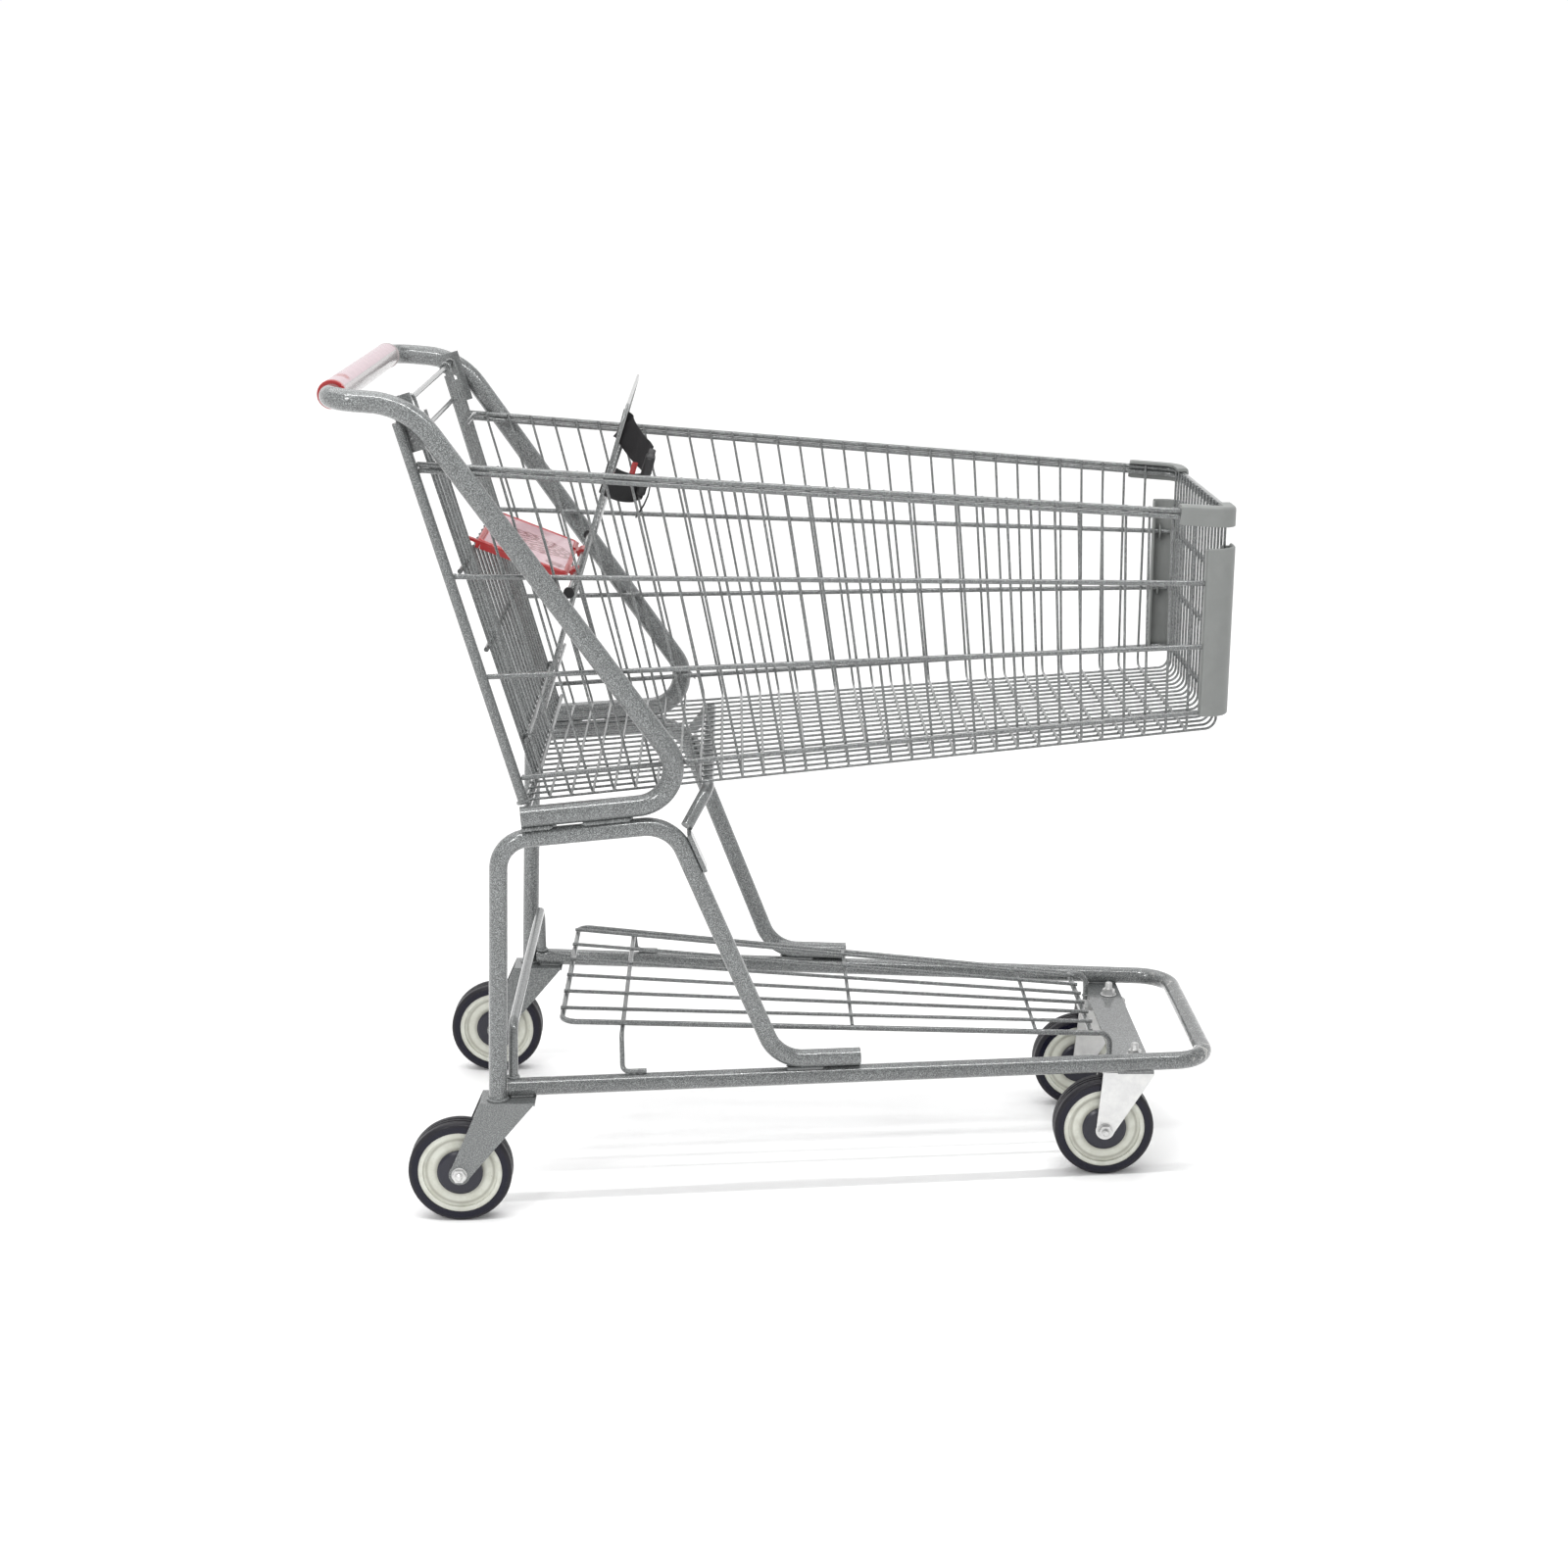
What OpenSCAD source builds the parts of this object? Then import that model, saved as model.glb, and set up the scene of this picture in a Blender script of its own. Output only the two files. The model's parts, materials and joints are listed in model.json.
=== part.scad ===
// Supermarket shopping cart: bent-tube frame, wire basket, hinged rear gate
// with a folding child seat, lower rack, two fixed rear wheels, two casters.
// X runs forward, Z up, Y to the cart's left. X is counted from the rear axle
// inside the modules and shifted at the end, so the origin is the middle of
// the footprint on the floor.

/* [Wheels] */
// outside diameter of every tyre
wheel_dia = 127; // [100:1:160]
// width of a tyre
tyre_width = 32; // [24:1:40]
// diameter of the wheel core inside the tyre
core_dia = 103; // [80:1:110]
// diameter of the hub cap
hub_cap_dia = 56; // [40:1:70]
// axle bolt diameter
axle_dia = 10; // [8:0.5:14]
// rear wheel centre from the mid-plane
rear_track_half = 250; // [200:1:300]
// caster stem centre from the mid-plane
caster_half = 115; // [90:1:130]
// caster stem forward of the rear axle
caster_x = 846; // [700:1:900]
// caster trail, from stem to wheel centre
caster_trail = 37; // [25:1:50]
// caster stem diameter
stem_dia = 12; // [10:0.5:16]
// running clearance on axles and hinge rods, on the radius
run_gap = 0.05; // [0.02:0.01:0.1]

/* [Frame tubes] */
// handle tube outside diameter
handle_od = 25.4; // [20:0.1:32]
// leg, strut and base tube outside diameter
base_od = 22.2; // [18:0.1:28]
// tube wall
tube_wall = 2; // [1.2:0.1:3]
// height of the base tube's centre line
base_z = 168; // [140:1:200]
// half width of the base at the rear axle
base_half_rear = 252.9; // [220:0.1:300]
// how fast the base narrows forward
base_taper = 0.1033; // [0:0.001:0.15]
// centre line of the base's front tube
base_front_x = 931.9; // [800:0.1:1000]
// how far outside the base tube the leg stands
leg_out = 9; // [0:0.5:20]
// handle bar centre line behind the rear axle
bar_x = -122.6; // [-200:0.1:-60]
// handle bar centre height
bar_z = 1006.8; // [900:0.1:1100]
// height of the handle frame's foot tube, 100 forward of the axle
foot_z = 516.5; // [450:0.5:600]
// slope of the foot tube
foot_slope = 0.083; // [0:0.001:0.15]
// gap between the foot tube and the side frame, filled by the welds
weld_gap = 2.8; // [1:0.1:6]

/* [Grip] */
// grip sleeve outside diameter
grip_od = 31; // [28:0.5:40]
// half length of the grip sleeve
grip_half = 238; // [150:1:240]
// label thickness on the grip
label_t = 0.8; // [0.4:0.1:1.5]

/* [Basket] */
// wire diameter of the sides, floor and front
wire_d = 3.2; // [2.4:0.1:6]
// rail rod diameter
rail_d = 6.3; // [5:0.1:9]
// rear upright rod diameter
upright_d = 12.7; // [10:0.1:16]
// half width of the wire cage at the rear axle
basket_half_rear = 250.8; // [220:0.1:280]
// how fast the basket narrows forward
basket_taper = 0.0705; // [0:0.0005:0.12]
// floor height at the rear axle
floor_z0 = 519; // [450:1:600]
// floor rise per unit forward
floor_slope = 0.0897; // [0:0.001:0.15]
// rim height at the rear axle
rim_z0 = 925.2; // [850:0.1:1000]
// rim fall per unit forward
rim_slope = -0.0703; // [-0.12:0.001:0]
// front wires' centre plane
front_x = 917; // [800:1:980]
// first cross wire
first_wire_x = 117; // [100:1:140]
// pitch of the cross wires on the floor
wire_pitch = 25.4; // [20:0.1:40]
// number of cross wires
cross_count = 31; // [20:1:36]
// number of long floor wires
long_count = 18; // [10:1:22]
// bend radius of the wires
wire_bend = 10; // [8:0.5:16]
// rearward lean of the uprights, per unit of height
lean = 0.294; // [0.2:0.001:0.35]
// upright's x at the reference height
upright_x = -49.4; // [-60:0.1:-40]
// upright reference height
upright_z = 992; // [950:1:1020]

/* [Gate and seat] */
// hinge bar height
hinge_z = 993; // [950:1:1020]
// wire diameter of the gate and of the seat back's frame
gate_wire_d = 4; // [3:0.1:6]
// wire diameter of the seat back's inner wires
back_wire_d = 3; // [2:0.1:5]
// diameter of the gate's and seat back's rods
gate_rod_d = 6; // [4:0.1:8]
// gate half width at the hinge
gate_half = 240; // [200:1:245]
// gate length down from the hinge
gate_len = 474; // [400:1:480]
// pitch of the seat back's wires
back_pitch = 36; // [30:1:40]
// seat back length
back_len = 411; // [300:1:450]
// seat back forward lean in degrees
back_lean = 16.6; // [10:0.1:25]
// height of the seat back's hinge rod
back_hinge_z = 590; // [570:1:620]
// seat board half width
seat_half = 116; // [90:1:120]
// seat board thickness
seat_t = 4; // [3:0.5:6]
// seat rod's distance up the seat back
seat_rod_s = 185; // [160:1:210]
// seat board hook height on the gate
hook_z = 817; // [800:1:840]

/* [Rack] */
// rack frame rod diameter
rack_rod_d = 7; // [5:0.1:9]
// diameter of the rack's long and cross wires
rack_wire_d = 4.8; // [3:0.1:6]
// rack half width at the rear
rack_half_rear = 187; // [150:1:200]
// rack half width at the front
rack_half_front = 112; // [90:1:130]
// rear end of the rack
rack_rear_x = 122; // [100:1:160]
// front end of the rack
rack_front_x = 814; // [700:1:830]
// rack height at the rear
rack_rear_z = 231; // [210:1:260]
// rack height at the front
rack_front_z = 186; // [180:1:220]

/* [Render] */
// node to draw

/* [Hidden] */
$fn = 48;
seat_gap = 0.3;
hairline = 0.01;
wheel_r = wheel_dia / 2;
grip_ring_od = grip_od + 2.3;
x_min = bar_x - grip_ring_od / 2;
x_max = base_front_x + base_od / 2;
mid_x = (x_min + x_max) / 2;
wire_r = wire_d / 2;
gate_wire_r = gate_wire_d / 2;
gate_rod_r = gate_rod_d / 2;
rail_r = rail_d / 2;
rail_out = wire_r + seat_gap + rail_r;
handle_half_rear = basket_half_rear + rail_out + rail_r + seat_gap + handle_od / 2;
lean_deg = atan(lean);
rail_front_x = front_x + rail_out;
rim_lift = rail_r + 0.15;
fork_in = tyre_width / 2 + 3.5;
plate_t = 3;
plate_top = base_z - base_od / 2 - seat_gap;
caster_wheel_x = caster_x - caster_trail;

function unit(v) = v / norm(v);
function base_half(x) = base_half_rear - base_taper * x;
function basket_half(x) = basket_half_rear - basket_taper * x;
function handle_half(x) = handle_half_rear - basket_taper * x;
function rail_half(x) = basket_half(x) + rail_out;
function floor_z(x) = floor_z0 + floor_slope * x;
function rim_z(x) = rim_z0 + rim_slope * x;
function upright_at(z) = upright_x + lean * (upright_z - z);
function upright_half(z) = rail_half(upright_at(z)) + (z - 537) * 0.0175;
function bend_cut(a, b, c, r) = r * tan(acos(unit(b - a) * unit(c - b)) / 2);
function flip(p) = [p.x, -p.y, p.z];
function back_to_front(p) = [for (i = [len(p) - 1:-1:0]) flip(p[i])];
function both_ways(p) = concat(p, back_to_front(p));

module on_basis(o, ex, ey, ez) {
  multmatrix([
    [ex.x, ey.x, ez.x, o.x],
    [ex.y, ey.y, ez.y, o.y],
    [ex.z, ey.z, ez.z, o.z],
    [0, 0, 0, 1]
  ]) children();
}

module place() {
  translate([-mid_x, 0, 0]) children();
}

module pair() {
  children();
  mirror([0, 1, 0]) children();
}

// the left copy of a right-hand piece
module left() {
  mirror([0, 1, 0]) children();
}

module ring(od, id) {
  difference() {
    circle(d = od);
    circle(d = id);
  }
}

// a straight from p to q; the profile's +X faces outward where the path turns left about up
module seg(p, q, up = [0, 0, 1]) {
  w = unit(p - q);
  a = abs(w * up) < 0.95 ? up : [1, 0, 0];
  ex = unit(cross(a, w));
  on_basis(q, ex, cross(w, ex), w) linear_extrude(norm(q - p)) children();
}

module elbow(p, u, v, r) {
  t = acos(u * v);
  n = unit(v - (u * v) * u);
  c = p - u * r * tan(t / 2) + n * r;
  on_basis(c, -n, u, cross(-n, u)) rotate_extrude(angle = t) translate([r, 0]) children();
}

// a rod, tube or strip along the points p, bent by the radii r at the inner ones;
// straights and bends are separate solids that meet across a hairline
module bent(p, r, up = [0, 0, 1]) {
  n = len(p);
  for (i = [0:n - 2]) {
    u = unit(p[i + 1] - p[i]);
    a = i == 0 ? 0 : bend_cut(p[i - 1], p[i], p[i + 1], r[i - 1]) + hairline;
    b = i == n - 2 ? 0 : bend_cut(p[i], p[i + 1], p[i + 2], r[i]) + hairline;
    seg(p[i] + u * a, p[i + 1] - u * b, up) children();
  }
  if (n > 2) {
    for (i = [1:n - 2]) {
      elbow(p[i], unit(p[i] - p[i - 1]), unit(p[i + 1] - p[i]), r[i - 1]) children();
    }
  }
}

module rod_y(x, z, half, d) {
  translate([x, half, z]) rotate([90, 0, 0]) cylinder(h = 2 * half, d = d);
}

// ---------- frame ----------

function handle_pt(x, z) = [x, -handle_half(x), z];
function foot_at(x) = foot_z + foot_slope * (x - 100);
handle_side = [
  handle_pt(84, foot_at(84)),
  handle_pt(301.3, foot_at(301.3)),
  handle_pt(-32, 999.6),
  handle_pt(bar_x, bar_z)
];

module handle_frame() color("#8d9494") place() {
  bent(both_ways(handle_side), [45, 90, 32, 32, 90, 45])
    ring(handle_od, handle_od - 2 * tube_wall);
}

module handle_grip() color("#e8e0e0") place()
  translate([bar_x, grip_half, bar_z]) rotate([90, 0, 0]) linear_extrude(2 * grip_half)
    ring(grip_od, handle_od + 2 * seat_gap);

module grip_label() color("#d9c3c8") place()
  translate([bar_x, grip_half - 9, bar_z]) rotate([90, 0, 0])
    rotate([0, 0, 35]) difference() {
      linear_extrude(2 * (grip_half - 9)) ring(grip_od + 0.2 + 2 * label_t, grip_od + 0.2);
      translate([-grip_od, -2 * grip_od, -1]) cube([2 * grip_od, 2 * grip_od, 2 * grip_half]);
    }

module grip_end_ring() color("#d63a32") place()
  translate([bar_x, -grip_half + 8, bar_z]) rotate([90, 0, 0]) linear_extrude(7)
    ring(grip_ring_od, grip_od + 0.2);

leg_foot = [48, -(base_half(48) + leg_out), plate_top + seat_gap + 0.2];
side_top_drop = handle_od / 2 + base_od / 2 + weld_gap;
strut_z = base_z + base_od + seat_gap;
side_path = [
  leg_foot,
  [57, -(handle_half(57) - 3), foot_at(57) - side_top_drop],
  [262, -handle_half(262), foot_at(262) - side_top_drop],
  [389, -base_half(389), strut_z],
  [491, -base_half(491), strut_z]
];

module side_frame() bent(side_path, [38, 48, 50]) ring(base_od, base_od - 2 * tube_wall);
module side_frame_right() color("#8d9494") place() side_frame();
module side_frame_left() color("#8d9494") place() left() side_frame();

// weld fillets between the handle foot and the side frame's top
module frame_welds() color("#8a9090") place() pair() for (x = [100, 190])
  seg([x, -handle_half(x) + 1, foot_at(x) - handle_od / 2 - weld_gap / 2],
      [x + 26, -handle_half(x + 26) + 1, foot_at(x + 26) - handle_od / 2 - weld_gap / 2])
    square([5, weld_gap - 2 * seat_gap], center = true);

module base_frame() color("#8d9494") place()
  bent(both_ways([[58.9, -base_half(58.9), base_z], [base_front_x, -base_half(base_front_x), base_z]]),
       [45, 45]) ring(base_od, base_od - 2 * tube_wall);

brace_d = 12;
brace_foot_z = base_z + base_od / 2 + seat_gap;
module rear_brace() color("#7d8383") place()
  bent(both_ways([[66, -base_half(66) + 4, brace_foot_z], [66, -base_half(66) + 14, 243]]), [20, 20])
    circle(d = brace_d);

front_brace_d = 15;
front_brace_z = floor_z(304) - wire_r - seat_gap - front_brace_d / 2;
strut_dir = unit(side_path[3] - side_path[2]);
strut_n = unit([-strut_dir.z, 0, strut_dir.x]);
function strut_at(z) = side_path[2] + strut_dir * ((z - side_path[2].z) / strut_dir.z);
brace_weld = strut_at(463) + strut_n * (base_od / 2 + seat_gap + 2.5) + [0, 6, 0];

module front_brace() color("#7d8383") place()
  bent(both_ways([brace_weld - strut_dir * 32.4 + [0, 2, 0],
                  [304, -basket_half(304) + 16, front_brace_z]]), [24, 24])
    circle(d = front_brace_d);

module front_brace_plates() color("#7d8383") place() pair()
  seg(brace_weld - strut_dir * 25, brace_weld + strut_dir * 26, strut_n) square([24, 5], center = true);

caster_plate_x = rack_front_x + rack_rod_d / 2 + seat_gap;
caster_plate_w = caster_x + 17 - caster_plate_x;
caster_plate_t = 5;
module caster_plate() color("#7d8383") place() difference() {
  translate([caster_plate_x, -base_half(caster_x), plate_top - caster_plate_t])
    cube([caster_plate_w, 2 * base_half(caster_x), caster_plate_t]);
  pair() translate([caster_x, -caster_half, plate_top - caster_plate_t - 1])
    cylinder(h = caster_plate_t + 2, d = stem_dia + 2 * seat_gap);
}

// ---------- wheels ----------

// fork side plate outline in the X-Z plane around the axle centre
module fork_outline(tail, front, top, r) {
  inner = r - 0.4;
  difference() {
    union() {
      circle(r = r);
      polygon([[tail, top], [front, top], [inner * cos(-25), inner * sin(-25)], [-inner * cos(8), inner * sin(8)]]);
    }
    circle(d = axle_dia + 2 * seat_gap);
  }
}

module side_plates(tail, front, top, r) {
  for (y = [fork_in, -fork_in - plate_t])
    translate([0, y + plate_t, 0]) rotate([90, 0, 0]) linear_extrude(plate_t)
      fork_outline(tail, front, top, r);
}

rear_web_z = plate_top - wheel_r;
module rear_forks() color("#878e8e") place() pair() translate([0, -rear_track_half, wheel_r]) {
  side_plates(27, 94, rear_web_z, 13);
  translate([27, -fork_in - plate_t, rear_web_z - plate_t]) cube([67, 2 * (fork_in + plate_t), plate_t]);
}

module hex_bolt(half, d) {
  rotate([90, 0, 0]) {
    translate([0, 0, -half]) cylinder(h = 2 * half, d = d);
    translate([0, 0, half]) cylinder(h = 6, d = d * 1.75, $fn = 6);
    translate([0, 0, -half - 7]) cylinder(h = 7, d = d * 1.75, $fn = 6);
  }
}

bolt_half = fork_in + plate_t + seat_gap;
module rear_axle_bolts() color("#b9bcbc") place() pair()
  translate([0, -rear_track_half, wheel_r]) hex_bolt(bolt_half, axle_dia);

core_r = core_dia / 2;
cap_r = hub_cap_dia / 2;
tyre_half = tyre_width / 2;
web_half = tyre_half - 5;
core_rim = 5.5;

module tyre() rotate([90, 0, 0]) rotate_extrude() {
  difference() {
    union() {
      translate([core_r + seat_gap, -tyre_half + 5]) square([wheel_r - core_r - seat_gap, tyre_width - 10]);
      translate([core_r + seat_gap, -tyre_half]) square([wheel_r - core_r - seat_gap - 5, tyre_width]);
      translate([wheel_r - 5, tyre_half - 5]) circle(r = 5);
      translate([wheel_r - 5, -tyre_half + 5]) circle(r = 5);
    }
    translate([wheel_r - 0.9, 2]) square([2, 2.2]);
    translate([wheel_r - 0.9, -4.2]) square([2, 2.2]);
  }
}

module core() rotate([90, 0, 0]) rotate_extrude() {
  translate([axle_dia / 2 + run_gap, -tyre_half + 1]) square([cap_r - 8 - axle_dia / 2, tyre_width - 2]);
  translate([cap_r - 9, -web_half]) square([core_r - cap_r + 4, 2 * web_half]);
  translate([core_r - core_rim, -tyre_half + 1.5]) square([core_rim, tyre_width - 3]);
}

// a domed cap on each side of the hub
module hubcaps() pair() translate([0, -web_half - seat_gap, 0]) rotate([90, 0, 0]) rotate_extrude()
  polygon([
    [cap_r - 7.4, 0], [cap_r - 1, 0], [cap_r, 1], [cap_r, 4], [cap_r - 3, 6.2],
    [axle_dia + 1.5, 7.4], [axle_dia + 1.5, 4.6], [cap_r - 7.4, 4.2]
  ]);

module at_rear() place() translate([0, -rear_track_half, wheel_r]) children();
module at_front() place() translate([caster_wheel_x, -caster_half, wheel_r]) children();
module wheel_rear_right() color("#1d1f2a") at_rear() tyre();
module wheel_rear_left() color("#1d1f2a") left() at_rear() tyre();
module core_rear_right() color("#c8cabe") at_rear() core();
module core_rear_left() color("#c8cabe") left() at_rear() core();
module hubcaps_rear_right() color("#23252f") at_rear() hubcaps();
module hubcaps_rear_left() color("#23252f") left() at_rear() hubcaps();
module wheel_front_right() color("#1d1f2a") at_front() tyre();
module wheel_front_left() color("#1d1f2a") left() at_front() tyre();
module core_front_right() color("#c8cabe") at_front() core();
module core_front_left() color("#c8cabe") left() at_front() core();
module hubcaps_front_right() color("#23252f") at_front() hubcaps();
module hubcaps_front_left() color("#23252f") left() at_front() hubcaps();

yoke_top_z = 142;
module yoke() {
  translate([caster_wheel_x, -caster_half, wheel_r])
    side_plates(-5, 60, yoke_top_z - plate_t - wheel_r, 12);
  difference() {
    union() {
      translate([caster_wheel_x - 5, -caster_half - fork_in - plate_t, yoke_top_z - plate_t])
        cube([65, 2 * (fork_in + plate_t), plate_t]);
      translate([caster_x, -caster_half, yoke_top_z])
        cylinder(h = plate_top - caster_plate_t - 0.6 - yoke_top_z, d = 42);
    }
    translate([caster_x, -caster_half, yoke_top_z - plate_t - 1])
      cylinder(h = 20, d = stem_dia + 2 * run_gap);
  }
}
module yoke_right() color("#d2d4d2") place() yoke();
module yoke_left() color("#d2d4d2") place() left() yoke();

stem_low = yoke_top_z - plate_t - 0.4;
module caster_stems() color("#b9bcbc") place() pair() translate([caster_x, -caster_half, 0]) {
  translate([0, 0, stem_low]) cylinder(h = plate_top + 4 - stem_low, d = stem_dia);
  translate([0, 0, plate_top]) cylinder(h = 17, d = stem_dia * 0.75);
  translate([0, 0, stem_low - 5]) cylinder(h = 5, d = stem_dia * 1.7, $fn = 6);
  translate([0, 0, plate_top + seat_gap]) cylinder(h = 8, d = stem_dia * 1.42, $fn = 6);
}
module caster_axle_right() color("#b9bcbc") at_front() hex_bolt(bolt_half, axle_dia);
module caster_axle_left() color("#b9bcbc") left() at_front() hex_bolt(bolt_half, axle_dia);

// ---------- lower rack ----------

rack_len = rack_front_x - rack_rear_x;
function rack_z(x) = rack_rear_z + (rack_front_z - rack_rear_z) * (x - rack_rear_x) / rack_len;
function rack_half(x) = rack_half_rear + (rack_half_front - rack_half_rear) * (x - rack_rear_x) / rack_len;
rack_r = rack_rod_d / 2;
// clears the side rods, which converge forward
rack_end_gap = 0.9;
rack_up = unit([rack_rear_z - rack_front_z, 0, rack_len]);
rack_corner = [
  [rack_front_x, -rack_half_front, rack_front_z],
  [rack_rear_x, -rack_half_rear, rack_rear_z]
];

module rack_frame() color("#8d9494") place() {
  bent(concat([[rack_front_x, -rack_half_front, plate_top - caster_plate_t], rack_corner[0], rack_corner[1]],
              back_to_front([[rack_front_x, -rack_half_front, plate_top - caster_plate_t],
                             rack_corner[0], rack_corner[1]])), [14, 16, 16, 14])
    circle(d = rack_rod_d);
  rod_y(rack_front_x - 24, rack_z(rack_front_x - 24), rack_half(rack_front_x - 24) - rack_r - rack_end_gap, rack_rod_d);
}

rack_wire_up = rack_r + seat_gap + rack_wire_d / 2;
module rack_wires() color("#8d9494") place() {
  pair() for (k = [1, 3, 5]) {
    a = k * rack_half_rear / 6.03;
    b = k * (rack_half_front - 6) / 6.03;
    seg([rack_rear_x - 3, -a, rack_z(rack_rear_x - 3) + rack_wire_up],
        [rack_front_x - 20, -b, rack_z(rack_front_x - 20) + rack_wire_up]) circle(d = rack_wire_d);
  }
  for (x = [484, 718])
    rod_y(x, rack_z(x) + rack_wire_up - rack_wire_d - seat_gap, rack_half(x) - rack_r - rack_end_gap, rack_wire_d);
}

support_d = 6;
support_z = rack_z(197) - rack_r - seat_gap - support_d / 2;
support_foot_z = base_z + base_od / 2 + seat_gap + support_d / 2;
module rack_support() color("#8d9494") place()
  bent(both_ways([[228, -base_half(228), support_foot_z], [199, -base_half(199), support_foot_z],
                  [197, -205, support_z]]), [8, 12, 12, 8])
    circle(d = support_d);

// ---------- basket ----------

upright_top = hinge_z - 14.3;
upright_low = floor_z(90) + 2;
module uprights() color("#8d9494") place() pair()
  seg([upright_at(upright_low), -upright_half(upright_low), upright_low],
      [upright_at(upright_top), -upright_half(upright_top), upright_top]) circle(d = upright_d);

floor_bar_d = 9.5;
floor_bar_z = floor_z(90) - wire_r - seat_gap - floor_bar_d / 2;
floor_bar_low = max(0, floor_bar_z - floor_bar_d / 2 - foot_at(90));
floor_bar_half = handle_half(90) - sqrt(pow(handle_od / 2, 2) - pow(floor_bar_low, 2)) - 0.5;
module rear_floor_bar() color("#8d9494") place() rod_y(90, floor_bar_z, floor_bar_half, floor_bar_d);

lean_f = [cos(lean_deg), 0, sin(lean_deg)];
lean_d = [sin(lean_deg), 0, -cos(lean_deg)];
bar_off = upright_d / 2 + seat_gap + rail_r;
hinge_c = [upright_at(hinge_z), 0, hinge_z] + lean_f * bar_off;
bar_half = upright_half(hinge_z - 52) - upright_d / 2 - 0.5;
bar2_s = 40;
module hinge_bars() color("#8d9494") place() for (s = [0, bar2_s])
  rod_y(hinge_c.x + lean_d.x * s, hinge_c.z + lean_d.z * s, bar_half, rail_d);

module hinge_brackets() color("#7d8383") place() pair() difference() {
  on_basis(hinge_c + [0, -bar_half, 0], lean_f, lean_d, [0, 1, 0])
    translate([-12, -13, 0]) cube([25, 66, 3]);
  for (s = [0, bar2_s])
    rod_y(hinge_c.x + lean_d.x * s, hinge_c.z + lean_d.z * s, bar_half + 10, rail_d + 0.4);
  on_basis(hinge_c + [0, -bar_half - 1, 0], lean_f, lean_d, [0, 1, 0])
    translate([1, 20, 0]) cylinder(h = 6, d = 8);
}

function cross_x(i) = first_wire_x + i * wire_pitch;
function cross_z(x) = floor_z(x) + wire_d + seat_gap;
function tilt_at(i) = lean * (1 - i / (cross_count - 1));
function top_x(i) = cross_x(i) - tilt_at(i) * (rim_z(cross_x(i)) - cross_z(cross_x(i)));
stub = wire_bend + 4;

module side_wires() {
  for (i = [0:cross_count - 1]) {
    x = cross_x(i);
    t = top_x(i);
    low = [x, -basket_half(x), cross_z(x)];
    bent([[t, -basket_half(t), rim_z(t) + rim_lift + rail_r - 0.3], low, low + [0, stub, 0]], [wire_bend])
      circle(d = wire_d);
  }
}
module side_wires_right() color("#9aa0a0") place() side_wires();
module side_wires_left() color("#7f8585") place() left() side_wires();

module floor_cross_wires() color("#8d9494") place() for (i = [0:cross_count - 1]) {
  x = cross_x(i);
  rod_y(x, cross_z(x), basket_half(x) - stub - hairline, wire_d);
}

long_inset = wire_bend + 4;
function long_y(k, x) = (2 * k / (long_count - 1) - 1) * (basket_half(x) - long_inset);
front_bend = 14;
turn_x = front_x - front_bend - 4;
module floor_long_wires() color("#8d9494") place() for (k = [0:long_count - 1])
  seg([86, long_y(k, 86), floor_z(86)], [turn_x - hairline, long_y(k, turn_x), floor_z(turn_x)])
    circle(d = wire_d);

// the same wires turned up at the front
module front_wires() color("#8d9494") place() for (k = [0:long_count - 1]) {
  a = [turn_x, long_y(k, turn_x), floor_z(turn_x)];
  b = [front_x, long_y(k, front_x), floor_z(front_x)];
  bent([a, b, [front_x, b.y, rim_z(rail_front_x) + rim_lift + rail_r - 0.3]], [front_bend]) circle(d = wire_d);
}

// each rail: height at the rear axle and slope
rim_rows = [[rim_z0 + rim_lift, rim_slope], [rim_z0 - rim_lift, rim_slope]];
rails = concat(rim_rows, [[800.6, -0.021], [680.2, 0.0283], [552.5, 0.0813]]);
rail_bend = 20;
join_x = rail_front_x - rail_bend - 8;
function rail_start(r) = upright_at(r[0]) + upright_d / 2 + 1;
function rail_pt(r, x) = [x, -rail_half(x), r[0] + r[1] * x];

module side_rails() for (r = rails)
  seg(rail_pt(r, rail_start(r)), rail_pt(r, join_x - 2 * hairline)) circle(d = rail_d);
module rails_right() color("#9aa0a0") place() side_rails();
module rails_left() color("#7f8585") place() left() side_rails();

module rails_front() color("#8d9494") place() for (r = rails)
  bent(both_ways([rail_pt(r, join_x), rail_pt(r, rail_front_x)]), [rail_bend, rail_bend])
    circle(d = rail_d);

// plastic cap hooked over the rim's front corners
cap_side = unit(rail_pt(rim_rows[0], join_x) - rail_pt(rim_rows[0], rail_front_x));
module cap_profile() {
  translate([rail_r + seat_gap, -12]) square([3, 23.3]);
  translate([-9, 7.3]) square([rail_r + seat_gap + 9, 4]);
}
module rim_caps() color("#959995") place() pair() {
  c = [rail_front_x, -rail_half(rail_front_x), rim_z(rail_front_x)];
  bent([c + cap_side * 64, c, c + [0, 46, 0]], [rail_bend], up = unit(cross(-cap_side, [0, 1, 0])))
    cap_profile();
}

guard_low = 621;
guard_high = 824;
module guard_profile() {
  translate([rail_r + seat_gap, -(guard_high - guard_low) / 2]) square([4, guard_high - guard_low]);
}
module corner_guards() color("#959995") place() pair() {
  c = [rail_front_x, -rail_half(rail_front_x), (guard_low + guard_high) / 2];
  u = unit([1, basket_taper, 0]);
  bent([c - u * 30, c, c + [0, 34, 0]], [rail_bend]) guard_profile();
}

// ---------- gate ----------

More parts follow.
